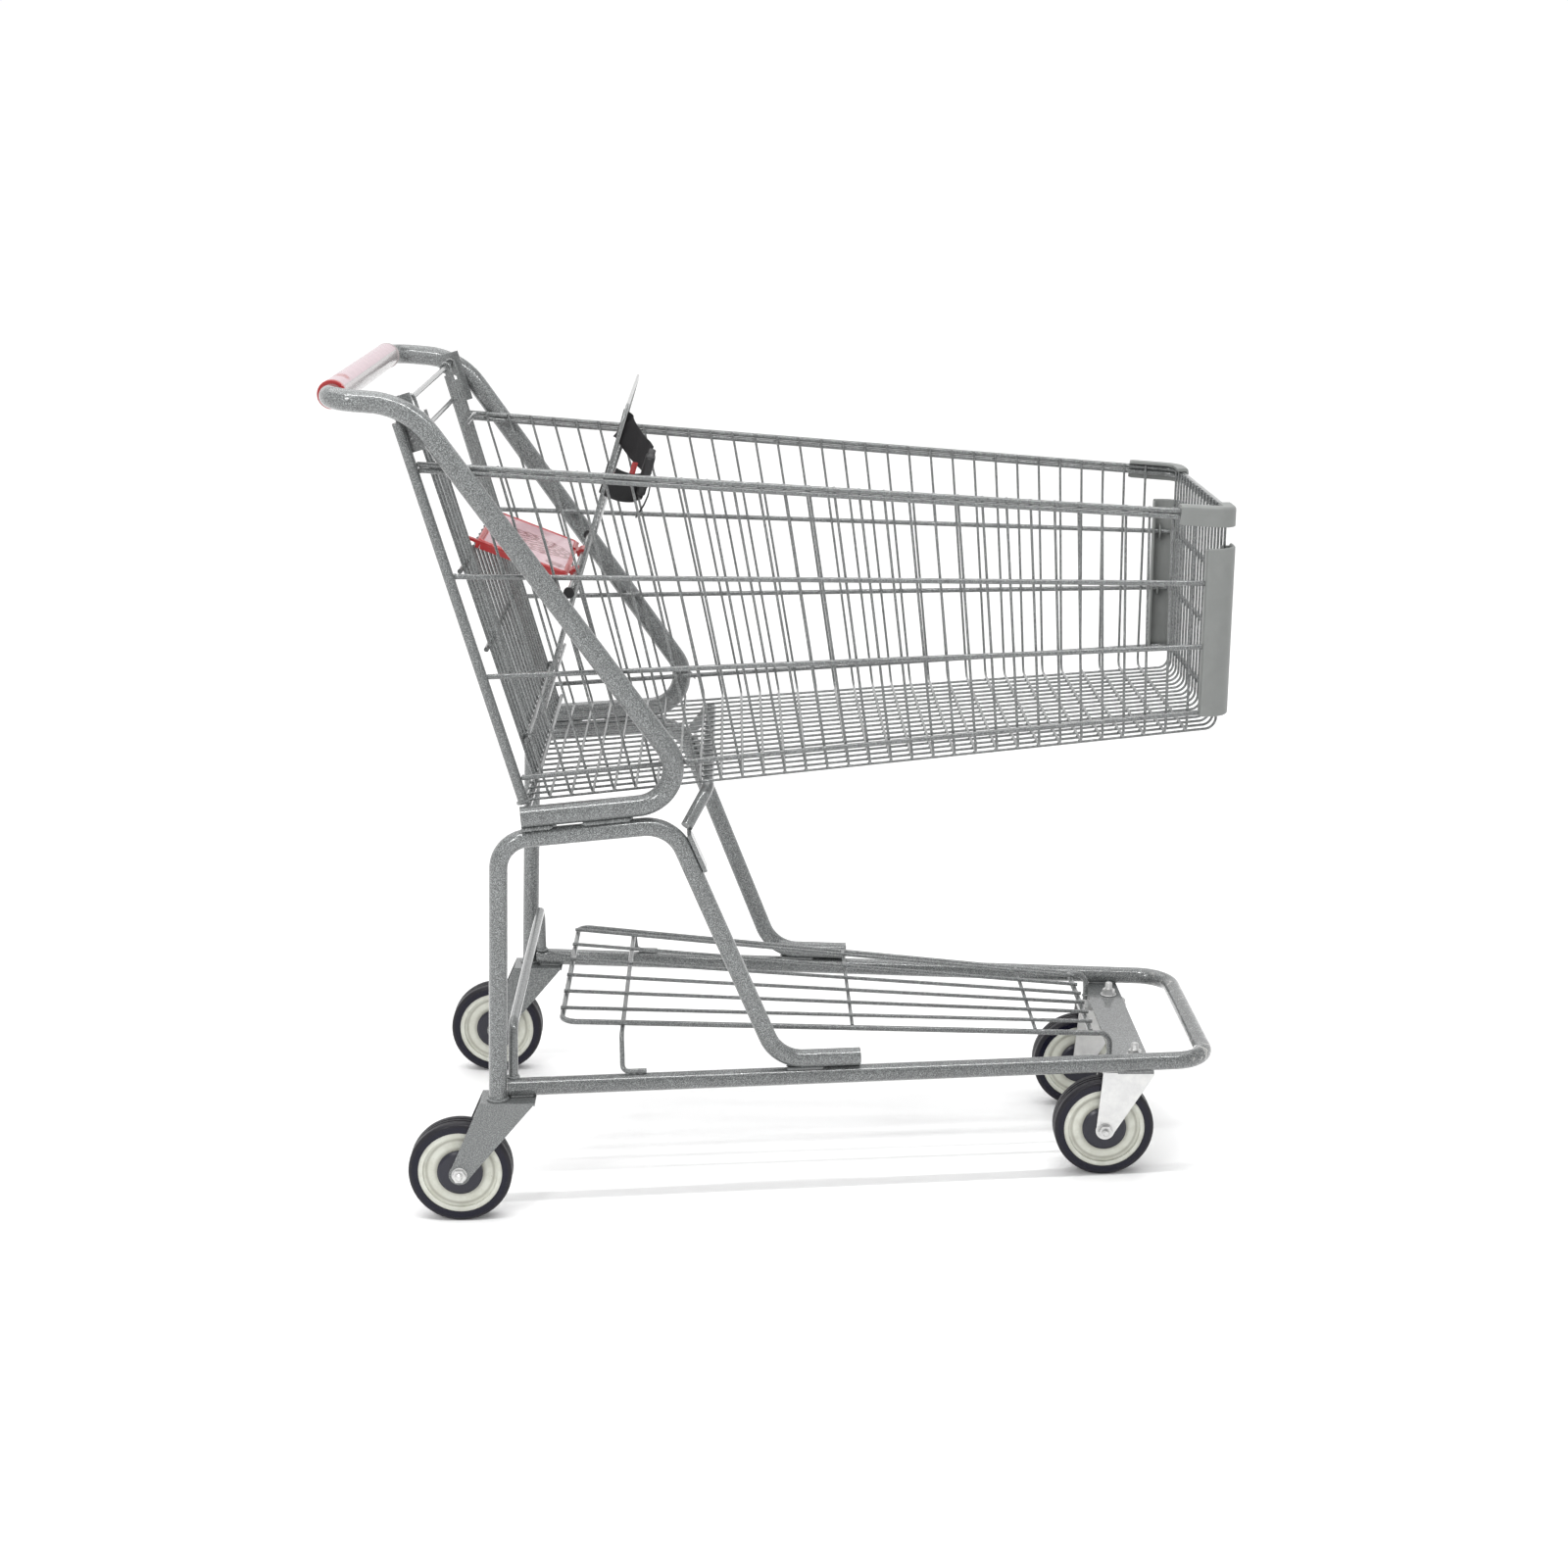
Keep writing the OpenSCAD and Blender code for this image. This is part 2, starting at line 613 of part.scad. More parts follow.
gate_off = rail_r + 0.4 + gate_wire_r;
loop_r = gate_off;
function gate_at(s, y, off = gate_off) = hinge_c + lean_d * s + lean_f * off + [0, y, 0];
function gate_taper(y, s) = y * (1 - 0.000275 * s);
gate_side_rows = [1, 0.888, 0.776, 0.664, 0.552];
gate_mid_rows = [0.44, 0.315, 0.19, 0.065];
opening_s = 196;

module hinge_loop(y) {
  on_basis(hinge_c + [0, y, 0], lean_f, -lean_d, [0, 1, 0] * -1)
    rotate_extrude(angle = 285) translate([loop_r, 0]) circle(d = gate_wire_d);
}

module gate_wires() color("#7f8585") place() {
  pair() for (k = [0:len(gate_side_rows) - 1]) {
    y = -gate_half * gate_side_rows[k];
    looped = k == 0 || k == 2;
    seg(gate_at(looped ? 0.2 : 20, y), gate_at(gate_len, gate_taper(y, gate_len))) circle(d = gate_wire_d);
    if (looped) hinge_loop(y);
  }
  pair() for (m = gate_mid_rows) {
    y = -gate_half * m;
    seg(gate_at(opening_s - 3, y), gate_at(gate_len, gate_taper(y, gate_len))) circle(d = gate_wire_d);
  }
}

// horizontal gate rods lie in front of or behind the vertical wires
gate_front = gate_off + gate_wire_r + seat_gap + gate_rod_r;
gate_rear = gate_off - gate_wire_r - seat_gap - gate_rod_r;
back_hinge_s = (hinge_z - back_hinge_z) / cos(lean_deg);
module gate_rod(s, off, half) rod_y(gate_at(s, 0, off).x, gate_at(s, 0, off).z, half, gate_rod_d);
module gate_rods() color("#7f8585") place() {
  pair() seg(gate_at(72, -gate_half * 0.54, gate_front), gate_at(72, -gate_half, gate_front)) circle(d = gate_rod_d);
  gate_rod(opening_s + 6, gate_rear, gate_half * 0.96);
  gate_rod(300, gate_rear, gate_half * 0.93);
  gate_rod(back_hinge_s, gate_front, gate_half * 0.9);
  gate_rod(gate_len - 8, gate_front, gate_half * 0.88);
}

// ---------- child seat ----------

back_half = gate_taper(gate_half * (gate_side_rows[0] + gate_side_rows[1]) / 2, back_hinge_s);
back_rod = gate_at(back_hinge_s, 0, gate_front);
back_off = gate_rod_r + 0.4 + gate_wire_r;
cross_rod_d = 4.8;
back_u = [sin(back_lean), 0, cos(back_lean)];
back_n = [cos(back_lean), 0, -sin(back_lean)];
function back_at(s, y, off = back_off) = back_rod + back_u * s + back_n * off + [0, y, 0];
seat_rod_off = back_off - gate_wire_r - seat_gap - gate_rod_r;
cross_off = back_off + gate_wire_r + seat_gap + cross_rod_d / 2;

module back_loop(y) {
  on_basis(back_rod + [0, y, 0], back_n, -back_u, cross(back_n, -back_u))
    rotate_extrude(angle = 280) translate([back_off, 0]) circle(d = gate_wire_d);
}

function back_wire_y(k) = (k + 0.5) * back_pitch;
module seat_back_wires() color("#7f8585") place() {
  bent([back_at(hairline, -back_half), back_at(back_len, -back_half),
        back_at(back_len, back_half), back_at(hairline, back_half)],
       [34, 34], up = [1, 0, 0]) circle(d = gate_wire_d);
  pair() back_loop(-back_half);
  pair() for (k = [0:4]) {
    y = -back_wire_y(k);
    seg(back_at(30, y), back_at(back_len - 4, y)) circle(d = back_wire_d);
  }
}

module back_rod_at(s, off, half, d) rod_y(back_at(s, 0, off).x, back_at(s, 0, off).z, half, d);
seat_rod_half = back_half + 10;
module seat_back_rods() color("#7f8585") place() {
  back_rod_at(seat_rod_s, seat_rod_off, seat_rod_half, gate_rod_d);
  for (s = [33, 262, 330]) back_rod_at(s, cross_off, back_half + 3, cross_rod_d);
}

module seat_pivot_caps() color("#1c1c1e") place() pair()
  translate(back_at(seat_rod_s, -seat_rod_half - 2.2, seat_rod_off)) rotate([-90, 0, 0])
    difference() {
      cylinder(h = 7, d = 13);
      translate([0, 0, 2]) cylinder(h = 6, d = gate_rod_d + 0.2);
    }

seat_axis = back_at(seat_rod_s, 0, seat_rod_off);
hook_pt = gate_at((hinge_z - hook_z) / cos(lean_deg), 0);
seat_len = norm(hook_pt - seat_axis);
seat_u = (hook_pt - seat_axis) / seat_len;
seat_body = seat_len - 9;
// the hooks pass the gate beside its wires and turn out behind them
hook_reach = 27;
hook_t = 3;
hook_y = gate_half * gate_side_rows[4] * 0.965;
barrel_d = 13;
barrel_gap = back_wire_d / 2 + 2.4;
barrel_out = back_wire_y(2) - barrel_gap;
barrel_in = back_wire_y(1) + barrel_gap;

module on_board() on_basis(seat_axis, seat_u, [0, -1, 0], cross(seat_u, [0, -1, 0])) children();

module seat_board() color("#d63a32") place() on_board() difference() {
  union() {
    translate([0, -seat_half, -seat_t / 2]) cube([seat_body, 2 * seat_half, seat_t]);
    pair() translate([0, -barrel_out, 0]) rotate([-90, 0, 0]) cylinder(h = barrel_out - barrel_in, d = barrel_d);
    pair() translate([14, -seat_half, -seat_t / 2 - 5]) cube([seat_body - 20, 4, 6]);
    translate([seat_body - 5, -seat_half, -seat_t / 2 - 5]) cube([5, 2 * seat_half, 6]);
    pair() translate([seat_body - 12, -seat_half, -hook_t / 2]) cube([hook_reach + 12, 8, hook_t]);
    pair() translate([seat_body + hook_reach - 4, -hook_y - 9, -hook_t / 2])
      cube([4, hook_y + 9 - seat_half + 2, hook_t]);
  }
  translate([0, seat_half + 1, 0]) rotate([90, 0, 0]) cylinder(h = 2 * seat_half + 2, d = gate_rod_d + 2 * run_gap);
  translate([-12, -barrel_in, -10]) cube([20, 2 * barrel_in, 20]);
  pair() translate([-12, -seat_half - 1, -10]) cube([20, seat_half + 1 - barrel_out, 20]);
}

module seat_label() color("#e7cfd2") place() on_board()
  translate([14, -seat_half + 5, seat_t / 2 + 0.1]) cube([seat_body - 22, 2 * seat_half - 10, 0.6]);

// safety belt: two runs of webbing from the seat back's wires to a closed buckle that hangs in front
belt_width = 38;
belt_t = 2;
buckle_t = 13;
buckle_off = 49;
belt_hug = back_wire_d / 2 + 2 * seat_gap + belt_t / 2;
belt_far = buckle_off - buckle_t / 2 - seat_gap - 0.9 * belt_t / 2;
module belt_run(s0, s1, side) {
  p = back_at(s0, side * back_wire_y(1));
  q = back_at(s1, side * 14, belt_far);
  seg(p + side * unit(cross(back_u, q - p)) * belt_hug, q, back_n) square([belt_width, belt_t], center = true);
}
module belt_strap() color("#17181a") place() {
  belt_run(360, 338, 1);
  belt_run(304, 296, -1);
}

module belt_buckle() color("#121315") place()
  seg(back_at(350, 0, buckle_off), back_at(270, 0, buckle_off), [1, 0, 0])
    square([44, buckle_t], center = true);

handle_frame();
handle_grip();
grip_label();
grip_end_ring();
side_frame_right();
side_frame_left();
frame_welds();
base_frame();
rear_brace();
front_brace();
front_brace_plates();
caster_plate();
rear_forks();
rear_axle_bolts();
wheel_rear_right();
wheel_rear_left();
core_rear_right();
core_rear_left();
hubcaps_rear_right();
hubcaps_rear_left();
yoke_right();
yoke_left();
caster_stems();
caster_axle_right();
caster_axle_left();
wheel_front_right();
wheel_front_left();
core_front_right();
core_front_left();
hubcaps_front_right();
hubcaps_front_left();
rack_frame();
rack_wires();
rack_support();
uprights();
rear_floor_bar();
hinge_bars();
hinge_brackets();
side_wires_right();
side_wires_left();
floor_cross_wires();
floor_long_wires();
front_wires();
rails_right();
rails_left();
rails_front();
rim_caps();
corner_guards();
gate_wires();
gate_rods();
seat_back_wires();
seat_back_rods();
seat_pivot_caps();
seat_board();
seat_label();
belt_strap();
belt_buckle();
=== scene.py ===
"""Looks of the shopping cart: paint, plastics, rubber, weld beads, threads and the safety belt."""

import json
import math
import random

import bmesh
import bpy
from mathutils import Matrix, Vector


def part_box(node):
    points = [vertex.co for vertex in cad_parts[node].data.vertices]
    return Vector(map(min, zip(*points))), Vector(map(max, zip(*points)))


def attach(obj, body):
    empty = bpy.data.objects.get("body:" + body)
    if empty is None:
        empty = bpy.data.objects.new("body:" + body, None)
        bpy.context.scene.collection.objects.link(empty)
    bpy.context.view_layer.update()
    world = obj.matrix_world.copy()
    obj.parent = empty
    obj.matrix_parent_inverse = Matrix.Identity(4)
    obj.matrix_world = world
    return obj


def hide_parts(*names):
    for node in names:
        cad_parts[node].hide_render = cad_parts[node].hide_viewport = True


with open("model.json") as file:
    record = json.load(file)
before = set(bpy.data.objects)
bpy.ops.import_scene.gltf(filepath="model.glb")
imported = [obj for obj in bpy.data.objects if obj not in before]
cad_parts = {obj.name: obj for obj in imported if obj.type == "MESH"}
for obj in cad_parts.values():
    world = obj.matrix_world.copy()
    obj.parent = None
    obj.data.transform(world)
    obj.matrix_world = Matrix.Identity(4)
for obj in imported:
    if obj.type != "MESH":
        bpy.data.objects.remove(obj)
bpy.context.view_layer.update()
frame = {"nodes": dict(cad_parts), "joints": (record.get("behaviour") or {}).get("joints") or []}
nodes = frame["nodes"]
joints = {j["name"]: j for j in frame["joints"]}

MM = 0.001
UP = Vector((0, 0, 1))
SIDES = {-1: "right", 1: "left"}  # the sign of y on each side of the cart
AXLE_X, _, WHEEL_R = joints["rear_wheel_right_spin"]["pos_m"]


# ---------- materials ----------


class Surface:
    """A Principled material whose textures are laid out in metres on the part itself."""

    def __init__(self, name, **values):
        self.material = bpy.data.materials.new(name)
        self.material.use_nodes = True
        self.tree = self.material.node_tree
        self.shader = self.tree.nodes["Principled BSDF"]
        for socket, value in values.items():
            self.shader.inputs[socket.replace("_", " ")].default_value = value
        coordinates = self.tree.nodes.new("ShaderNodeTexCoord")
        self.position = coordinates.outputs["Object"]

    def _node(self, kind, inputs, **settings):
        node = self.tree.nodes.new(kind)
        for key, value in settings.items():
            setattr(node, key, value)
        for key, value in inputs.items():
            if isinstance(value, bpy.types.NodeSocket):
                self.tree.links.new(value, node.inputs[key])
            else:
                node.inputs[key].default_value = value
        return node

    def noise(self, scale, detail=3.0, roughness=0.5, distortion=0.0):
        inputs = {"Vector": self.position, "Scale": scale, "Detail": detail,
                  "Roughness": roughness, "Distortion": distortion}
        return self._node("ShaderNodeTexNoise", inputs).outputs["Fac"]

    def cells(self, scale):
        inputs = {"Vector": self.position, "Scale": scale}
        voronoi = self._node("ShaderNodeTexVoronoi", inputs, feature="SMOOTH_F1")
        return voronoi.outputs["Distance"]

    def waves(self, scale, direction, distortion=0.0):
        inputs = {"Vector": self.position, "Scale": scale, "Distortion": distortion}
        return self._node("ShaderNodeTexWave", inputs, bands_direction=direction).outputs["Fac"]

    def step(self, value, low, high):
        """0 below low, 1 above high, smooth between them."""
        inputs = {"Value": value, "From Min": low, "From Max": high}
        node = self._node("ShaderNodeMapRange", inputs, interpolation_type="SMOOTHSTEP")
        return node.outputs["Result"]

    def math(self, operation, a, b=0.0):
        return self._node("ShaderNodeMath", {0: a, 1: b}, operation=operation).outputs[0]

    def axis(self, letter, centre=0.0):
        """The coordinate along X, Y or Z, counted from centre."""
        split = self._node("ShaderNodeSeparateXYZ", {"Vector": self.position})
        return self.math("SUBTRACT", split.outputs[letter], centre)

    def radius(self, first, second):
        """Distance from a centre line; each argument is (axis letter, centre)."""
        a, b = self.axis(*first), self.axis(*second)
        squares = self.math("ADD", self.math("MULTIPLY", a, a), self.math("MULTIPLY", b, b))
        return self.math("SQRT", squares)

    def mix(self, factor, a, b):
        inputs = {0: factor, 6: a, 7: b}
        return self._node("ShaderNodeMix", inputs, data_type="RGBA").outputs[2]

    def blend(self, factor, a, b):
        return self._node("ShaderNodeMix", {0: factor, 2: a, 3: b}, data_type="FLOAT").outputs[0]

    def set(self, socket, value):
        self.tree.links.new(value, self.shader.inputs[socket])

    def bump(self, height, distance):
        """Raises the surface by distance metres where height is 1; calls add up."""
        inputs = {"Height": height, "Distance": distance, "Strength": 1.0}
        earlier = self.shader.inputs["Normal"].links
        if earlier:
            inputs["Normal"] = earlier[0].from_socket
        self.set("Normal", self._node("ShaderNodeBump", inputs).outputs["Normal"])


def opaque(colour):
    return tuple(colour) + (1.0,)


def grey(value, tint=(1.0, 1.0, 1.0)):
    return opaque(value * t for t in tint)


PAINT_TINT = (0.945, 1.0, 1.0)
WARM_DIRT = (1.0, 0.93, 0.85)


def hammertone(name, dark, light, fleck_size, worn_from=None):
    """Glossy grey hammertone paint with metallic flecks; rubbed spots ahead of worn_from."""
    s = Surface(name, Metallic=0.10, Coat_Weight=1.0, Coat_Roughness=0.07)
    flecks = s.step(s.noise(1.0 / fleck_size, detail=2.0, roughness=0.8), 0.46, 0.60)
    fine = s.step(s.noise(2.6 / fleck_size, detail=1.0), 0.42, 0.60)
    speckle = s.math("MULTIPLY", flecks, s.blend(fine, 0.35, 1.0))
    colour = s.mix(speckle, grey(dark, PAINT_TINT), grey(light, PAINT_TINT))
    thin = s.step(s.noise(9.0, detail=2.0), 0.35, 0.65)
    colour = s.mix(s.math("MULTIPLY", thin, 0.12), colour, grey(dark * 0.7, (1.0, 0.99, 0.97)))
    dirt = s.step(s.noise(330.0, detail=4.0, roughness=0.7), 0.66, 0.74)
    colour = s.mix(s.math("MULTIPLY", dirt, 0.35), colour, grey(dark * 0.4, WARM_DIRT))
    roughness = s.blend(speckle, 0.42, 0.30)
    if worn_from is not None:
        rubs = s.step(s.noise(90.0, detail=5.0, roughness=0.7, distortion=0.6), 0.57, 0.62)
        near_bar = s.step(s.axis("X", worn_from), 0.0, 0.02)
        worn = s.math("MULTIPLY", rubs, near_bar)
        colour = s.mix(worn, colour, grey(0.36, (1.0, 0.99, 0.95)))
        roughness = s.blend(worn, roughness, 0.6)
    s.set("Base Color", colour)
    s.set("Roughness", roughness)
    s.bump(s.cells(0.36 / fleck_size), 0.00006)
    s.bump(s.noise(1.0 / fleck_size, detail=2.0), 0.00003)
    return s.material


def zinc(name, level):
    """Bright zinc plate: soft clouds, small dull spots and faint rubbing lines."""
    s = Surface(name, Metallic=0.85)
    clouds = s.noise(90.0, detail=5.0, roughness=0.6)
    spots = s.step(s.noise(900.0, detail=2.0), 0.62, 0.72)
    lines = s.waves(260.0, "Z", distortion=9.0)
    bright = grey(level * 1.06, (1.0, 1.0, 0.985))
    colour = s.mix(s.step(clouds, 0.3, 0.7), grey(level * 0.92), bright)
    colour = s.mix(s.math("MULTIPLY", spots, 0.22), colour, grey(0.3))
    s.set("Base Color", colour)
    s.set("Roughness", s.blend(clouds, 0.30, 0.52))
    s.bump(lines, 0.00002)
    s.bump(clouds, 0.00015)
    return s.material


# Radii on a wheel, in metres; each pair fades in from its first value to its second.
TREAD_EDGE = (0.0575, 0.0610)
GROOVE_INNER, GROOVE_OUTER = (0.0385, 0.0412), (0.0440, 0.0418)
# The radii over which the painted shade round the hub cap fades in.
HUB_SHADE = (0.0345, 0.0290)
PARTING_LINE = (0.0009, 0.0003)  # half width of the ridge round the tread's middle


def tyre_rubber(name, centre_x, centre_y):
    """Dark navy moulded tyre: glossy sidewalls and a scuffed, greyed tread."""
    s = Surface(name, Specular_IOR_Level=0.25, Coat_Weight=0.12, Coat_Roughness=0.06)
    distance = s.radius(("X", centre_x), ("Z", WHEEL_R))
    side = s.math("ABSOLUTE", s.axis("Y", centre_y))
    wear = s.noise(240.0, detail=6.0, roughness=0.7)
    band = s.step(distance, *TREAD_EDGE)
    tread = s.math("MULTIPLY", band, s.blend(s.step(wear, 0.35, 0.65), 0.65, 1.0))
    specks = s.step(s.noise(620.0, detail=3.0, roughness=0.6), 0.66, 0.72)
    colour = s.mix(tread, (0.003, 0.003, 0.012, 1.0), (0.012, 0.011, 0.014, 1.0))
    colour = s.mix(s.math("MULTIPLY", specks, 0.3), colour, (0.14, 0.13, 0.12, 1.0))
    s.set("Base Color", colour)
    s.set("Roughness", s.blend(tread, 0.16, 0.62))
    s.bump(wear, 0.00010)
    s.bump(s.step(side, *PARTING_LINE), 0.00025)
    return s.material


def core_plastic(name, centre_x):
    """Cream-grey wheel core: moulded plastic with painted shade in the groove and round the hub,
    speckled with road dirt.
    """
    s = Surface(name, Coat_Weight=0.15, Coat_Roughness=0.3)
    distance = s.radius(("X", centre_x), ("Z", WHEEL_R))
    groove = s.math("MULTIPLY", s.step(distance, *GROOVE_INNER), s.step(distance, *GROOVE_OUTER))
    near_hub = s.step(distance, *HUB_SHADE)
    patches = s.noise(70.0, detail=5.0, roughness=0.65)
    dirt = s.step(s.noise(480.0, detail=4.0, roughness=0.65), 0.66, 0.74)
    clean, aged = (0.60, 0.61, 0.545, 1.0), (0.515, 0.52, 0.45, 1.0)
    colour = s.mix(s.step(patches, 0.35, 0.7), clean, aged)
    # Painted shade: the groove and a ring round the hub cap are darkened in the colour.
    shade = s.math("MAXIMUM", s.math("MULTIPLY", groove, 0.55), s.math("MULTIPLY", near_hub, 0.40))
    colour = s.mix(shade, colour, (0.20, 0.19, 0.15, 1.0))
    colour = s.mix(s.math("MULTIPLY", dirt, 0.75), colour, (0.05, 0.045, 0.035, 1.0))
    s.set("Base Color", colour)
    s.set("Roughness", s.blend(patches, 0.36, 0.55))
    s.bump(patches, 0.00012)
    s.bump(s.noise(1400.0, detail=2.0), 0.00002)
    return s.material


def moulded(name, colour, roughness, dust=0.05, coat=0.0):
    """Moulded plastic: fine grain, faint flow marks, dust and small scratches."""
    s = Surface(name, Coat_Weight=coat, Coat_Roughness=0.15)
    flow = s.noise(26.0, detail=3.0, distortion=1.5)
    specks = s.step(s.noise(420.0, detail=5.0, roughness=0.7), 0.60, 0.74)
    scratches = s.step(s.waves(150.0, "DIAGONAL", distortion=24.0), 0.93, 0.99)
    base = s.mix(s.step(flow, 0.3, 0.7), opaque(0.93 * c for c in colour), opaque(colour))
    dusty = opaque(0.5 * c + 0.22 for c in colour)
    base = s.mix(s.math("MULTIPLY", specks, dust), base, dusty)
    base = s.mix(s.math("MULTIPLY", scratches, dust * 0.8), base, dusty)
    s.set("Base Color", base)
    s.set("Roughness", s.blend(flow, roughness, min(1.0, roughness + 0.14)))
    s.bump(s.noise(1500.0, detail=2.0), 0.00003)
    s.bump(scratches, -0.00002)
    return s.material


def webbing(name):
    """Woven black belt webbing: ribs across the belt and a fine twill."""
    s = Surface(name, Roughness=0.78, Specular_IOR_Level=0.3, Sheen_Weight=0.08,
                Sheen_Roughness=0.5)
    ribs = s.waves(340.0, "Z")
    twill = s.waves(520.0, "DIAGONAL", distortion=0.6)
    fuzz = s.noise(1200.0, detail=3.0)
    weave = s.math("MULTIPLY", ribs, s.blend(twill, 0.5, 1.0))
    s.set("Base Color", s.mix(weave, (0.004, 0.004, 0.005, 1.0), (0.020, 0.020, 0.022, 1.0)))
    s.bump(weave, 0.00045)
    s.bump(fuzz, 0.0001)
    return s.material


def printed(name, field, ink, marks):
    """A glossy printed field with soft-edged marks; marks(surface) gives the ink, 0 to 1."""
    s = Surface(name, Roughness=0.26, Coat_Weight=0.35, Coat_Roughness=0.06)
    mottle = s.noise(120.0, detail=4.0)
    rubbed = s.step(s.noise(210.0, detail=5.0, roughness=0.7), 0.42, 0.52)
    pale = opaque(min(1.0, 1.10 * c) for c in field)
    colour = s.mix(s.step(mottle, 0.35, 0.65), opaque(field), pale)
    inked = s.math("MULTIPLY", marks(s), s.blend(rubbed, 0.55, 1.0))
    s.set("Base Color", s.mix(inked, colour, opaque(ink)))
    s.bump(mottle, 0.00004)
    return s.material


# ---------- assignment ----------


def paint_with(material, *names):
    for name in names:
        mesh = nodes[name].data
        mesh.materials.clear()
        mesh.materials.append(material)


RUBBED_FROM_X = 0.50  # the base's front bar lies ahead of this

tube_paint = hammertone("tube_paint", 0.066, 0.39, 1.25 * MM)
base_paint = hammertone("base_paint", 0.052, 0.34, 1.25 * MM, worn_from=RUBBED_FROM_X)
wire_paint = hammertone("wire_paint", 0.06, 0.33, 1.2 * MM)
plate_paint = hammertone("plate_paint", 0.085, 0.31, 1.2 * MM)

paint_with(tube_paint, "handle_frame", "side_frame_right", "side_frame_left")
paint_with(base_paint, "base_frame")
paint_with(plate_paint, "frame_welds", "rear_brace", "front_brace", "front_brace_plates",
           "caster_plate", "rear_forks", "hinge_brackets")
paint_with(wire_paint, "rack_frame", "rack_wires", "rack_support", "uprights", "rear_floor_bar",
           "hinge_bars", "side_wires_right", "side_wires_left", "floor_cross_wires",
           "floor_long_wires", "front_wires", "rails_right", "rails_left", "rails_front",
           "gate_wires", "gate_rods", "seat_back_wires", "seat_back_rods")

bright_zinc = zinc("bright_zinc", 0.66)
bolt_zinc = zinc("bolt_zinc", 0.6)
paint_with(bright_zinc, "yoke_right", "yoke_left")
paint_with(bolt_zinc, "rear_axle_bolts", "caster_stems", "caster_axle_right", "caster_axle_left")

navy_cap = moulded("navy_cap", (0.004, 0.004, 0.014), 0.24, dust=0.03, coat=0.1)
for end in ("rear", "front"):
    for hand in SIDES.values():
        place = end + "_" + hand
        x, y, _ = joints[end + "_wheel_" + hand + "_spin"]["pos_m"]
        paint_with(tyre_rubber("tyre_" + place, x, y), "wheel_" + place)
        paint_with(core_plastic("core_plastic_" + place, x), "core_" + place)
        paint_with(navy_cap, "hubcaps_" + place)

guard_plastic = moulded("guard_plastic", (0.182, 0.190, 0.184), 0.36, dust=0.10)
paint_with(guard_plastic, "rim_caps", "corner_guards")

clear_sleeve = moulded("clear_sleeve", (0.38, 0.34, 0.34), 0.14, coat=0.5)
red_plastic = moulded("red_plastic", (0.31, 0.009, 0.010), 0.24, coat=0.3)
black_plastic = moulded("black_plastic", (0.011, 0.011, 0.012), 0.34, dust=0.06)
paint_with(clear_sleeve, "handle_grip")
paint_with(red_plastic, "grip_end_ring", "seat_board")
paint_with(black_plastic, "seat_pivot_caps")

grip_low, grip_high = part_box("handle_grip")
grip_centre = (grip_low + grip_high) / 2


def grip_marks(s):
    """A dark line along the label's lower front edge and one blot near the right end."""
    height = s.axis("Z", grip_centre.z)
    ahead = s.axis("X", grip_centre.x)
    line = s.math("MULTIPLY", s.step(height, -0.0015, -0.0030), s.step(ahead, 0.0, 0.004))
    blot = s.step(s.radius(("Y", grip_low.y + 0.062), ("X", grip_centre.x)), 0.016, 0.011)
    top = s.step(height, 0.010, 0.013)
    return s.math("MAXIMUM", line, s.math("MULTIPLY", blot, top))


grip_print = printed("grip_print", (0.37, 0.25, 0.28), (0.25, 0.012, 0.018), grip_marks)
paint_with(grip_print, "grip_label")

label_low, label_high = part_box("seat_label")
label_centre = (label_low + label_high) / 2


def seat_marks(s):
    """Generic maroon arcs: rings about two points of the label, kept to one patch of it."""
    rings = []
    for shift_x, shift_y in ((0.018, -0.020), (-0.022, 0.030)):
        distance = s.radius(("X", label_centre.x + shift_x), ("Y", label_centre.y + shift_y))
        ripple = s.math("PINGPONG", distance, 0.0055)
        rings.append(s.step(ripple, 0.0026, 0.0034))
    patch = s.step(s.radius(("X", label_centre.x), ("Y", label_centre.y)), 0.056, 0.050)
    corner_at = s.radius(("X", label_high.x - 0.012), ("Y", label_low.y + 0.026))
    corner = s.step(corner_at, 0.014, 0.010)
    return s.math("MAXIMUM", s.math("MULTIPLY", s.math("MAXIMUM", *rings), patch), corner)


seat_print = printed("seat_print", (0.44, 0.27, 0.30), (0.16, 0.010, 0.018), seat_marks)
paint_with(seat_print, "seat_label")
belt_webbing = webbing("belt_webbing")
paint_with(belt_webbing, "belt_strap")
paint_with(black_plastic, "belt_buckle")
weld_paint = hammertone("weld_paint", 0.10, 0.33, 0.8 * MM)


# ---------- shapes ----------


def at(x, y, z):
    """A point given in millimetres, with x counted forward from the rear axle."""
    return Vector((AXLE_X + x * MM, y * MM, z * MM))


def circle(radius, sides=10):
    """A round profile; radius in metres."""
    turn = math.tau / sides
    return [(radius * math.cos(i * turn), radius * math.sin(i * turn)) for i in range(sides)]


def rounded(width, height, radius, inset=0.0, centre=(0.0, 0.0), steps=4):
    """A rectangle profile with round corners, drawn inset all round; metres."""
    half_w, half_h = width / 2 - radius, height / 2 - radius
    radius = max(radius - inset, 1e-5)
    outline = []
    for quarter, (right, top) in enumerate(((1, 1), (-1, 1), (-1, -1), (1, -1))):
        for step in range(steps + 1):
            angle = math.pi / 2 * (quarter + step / steps)
            outline.append((centre[0] + right * half_w + radius * math.cos(angle),
                            centre[1] + top * half_h + radius * math.sin(angle)))
    return outline


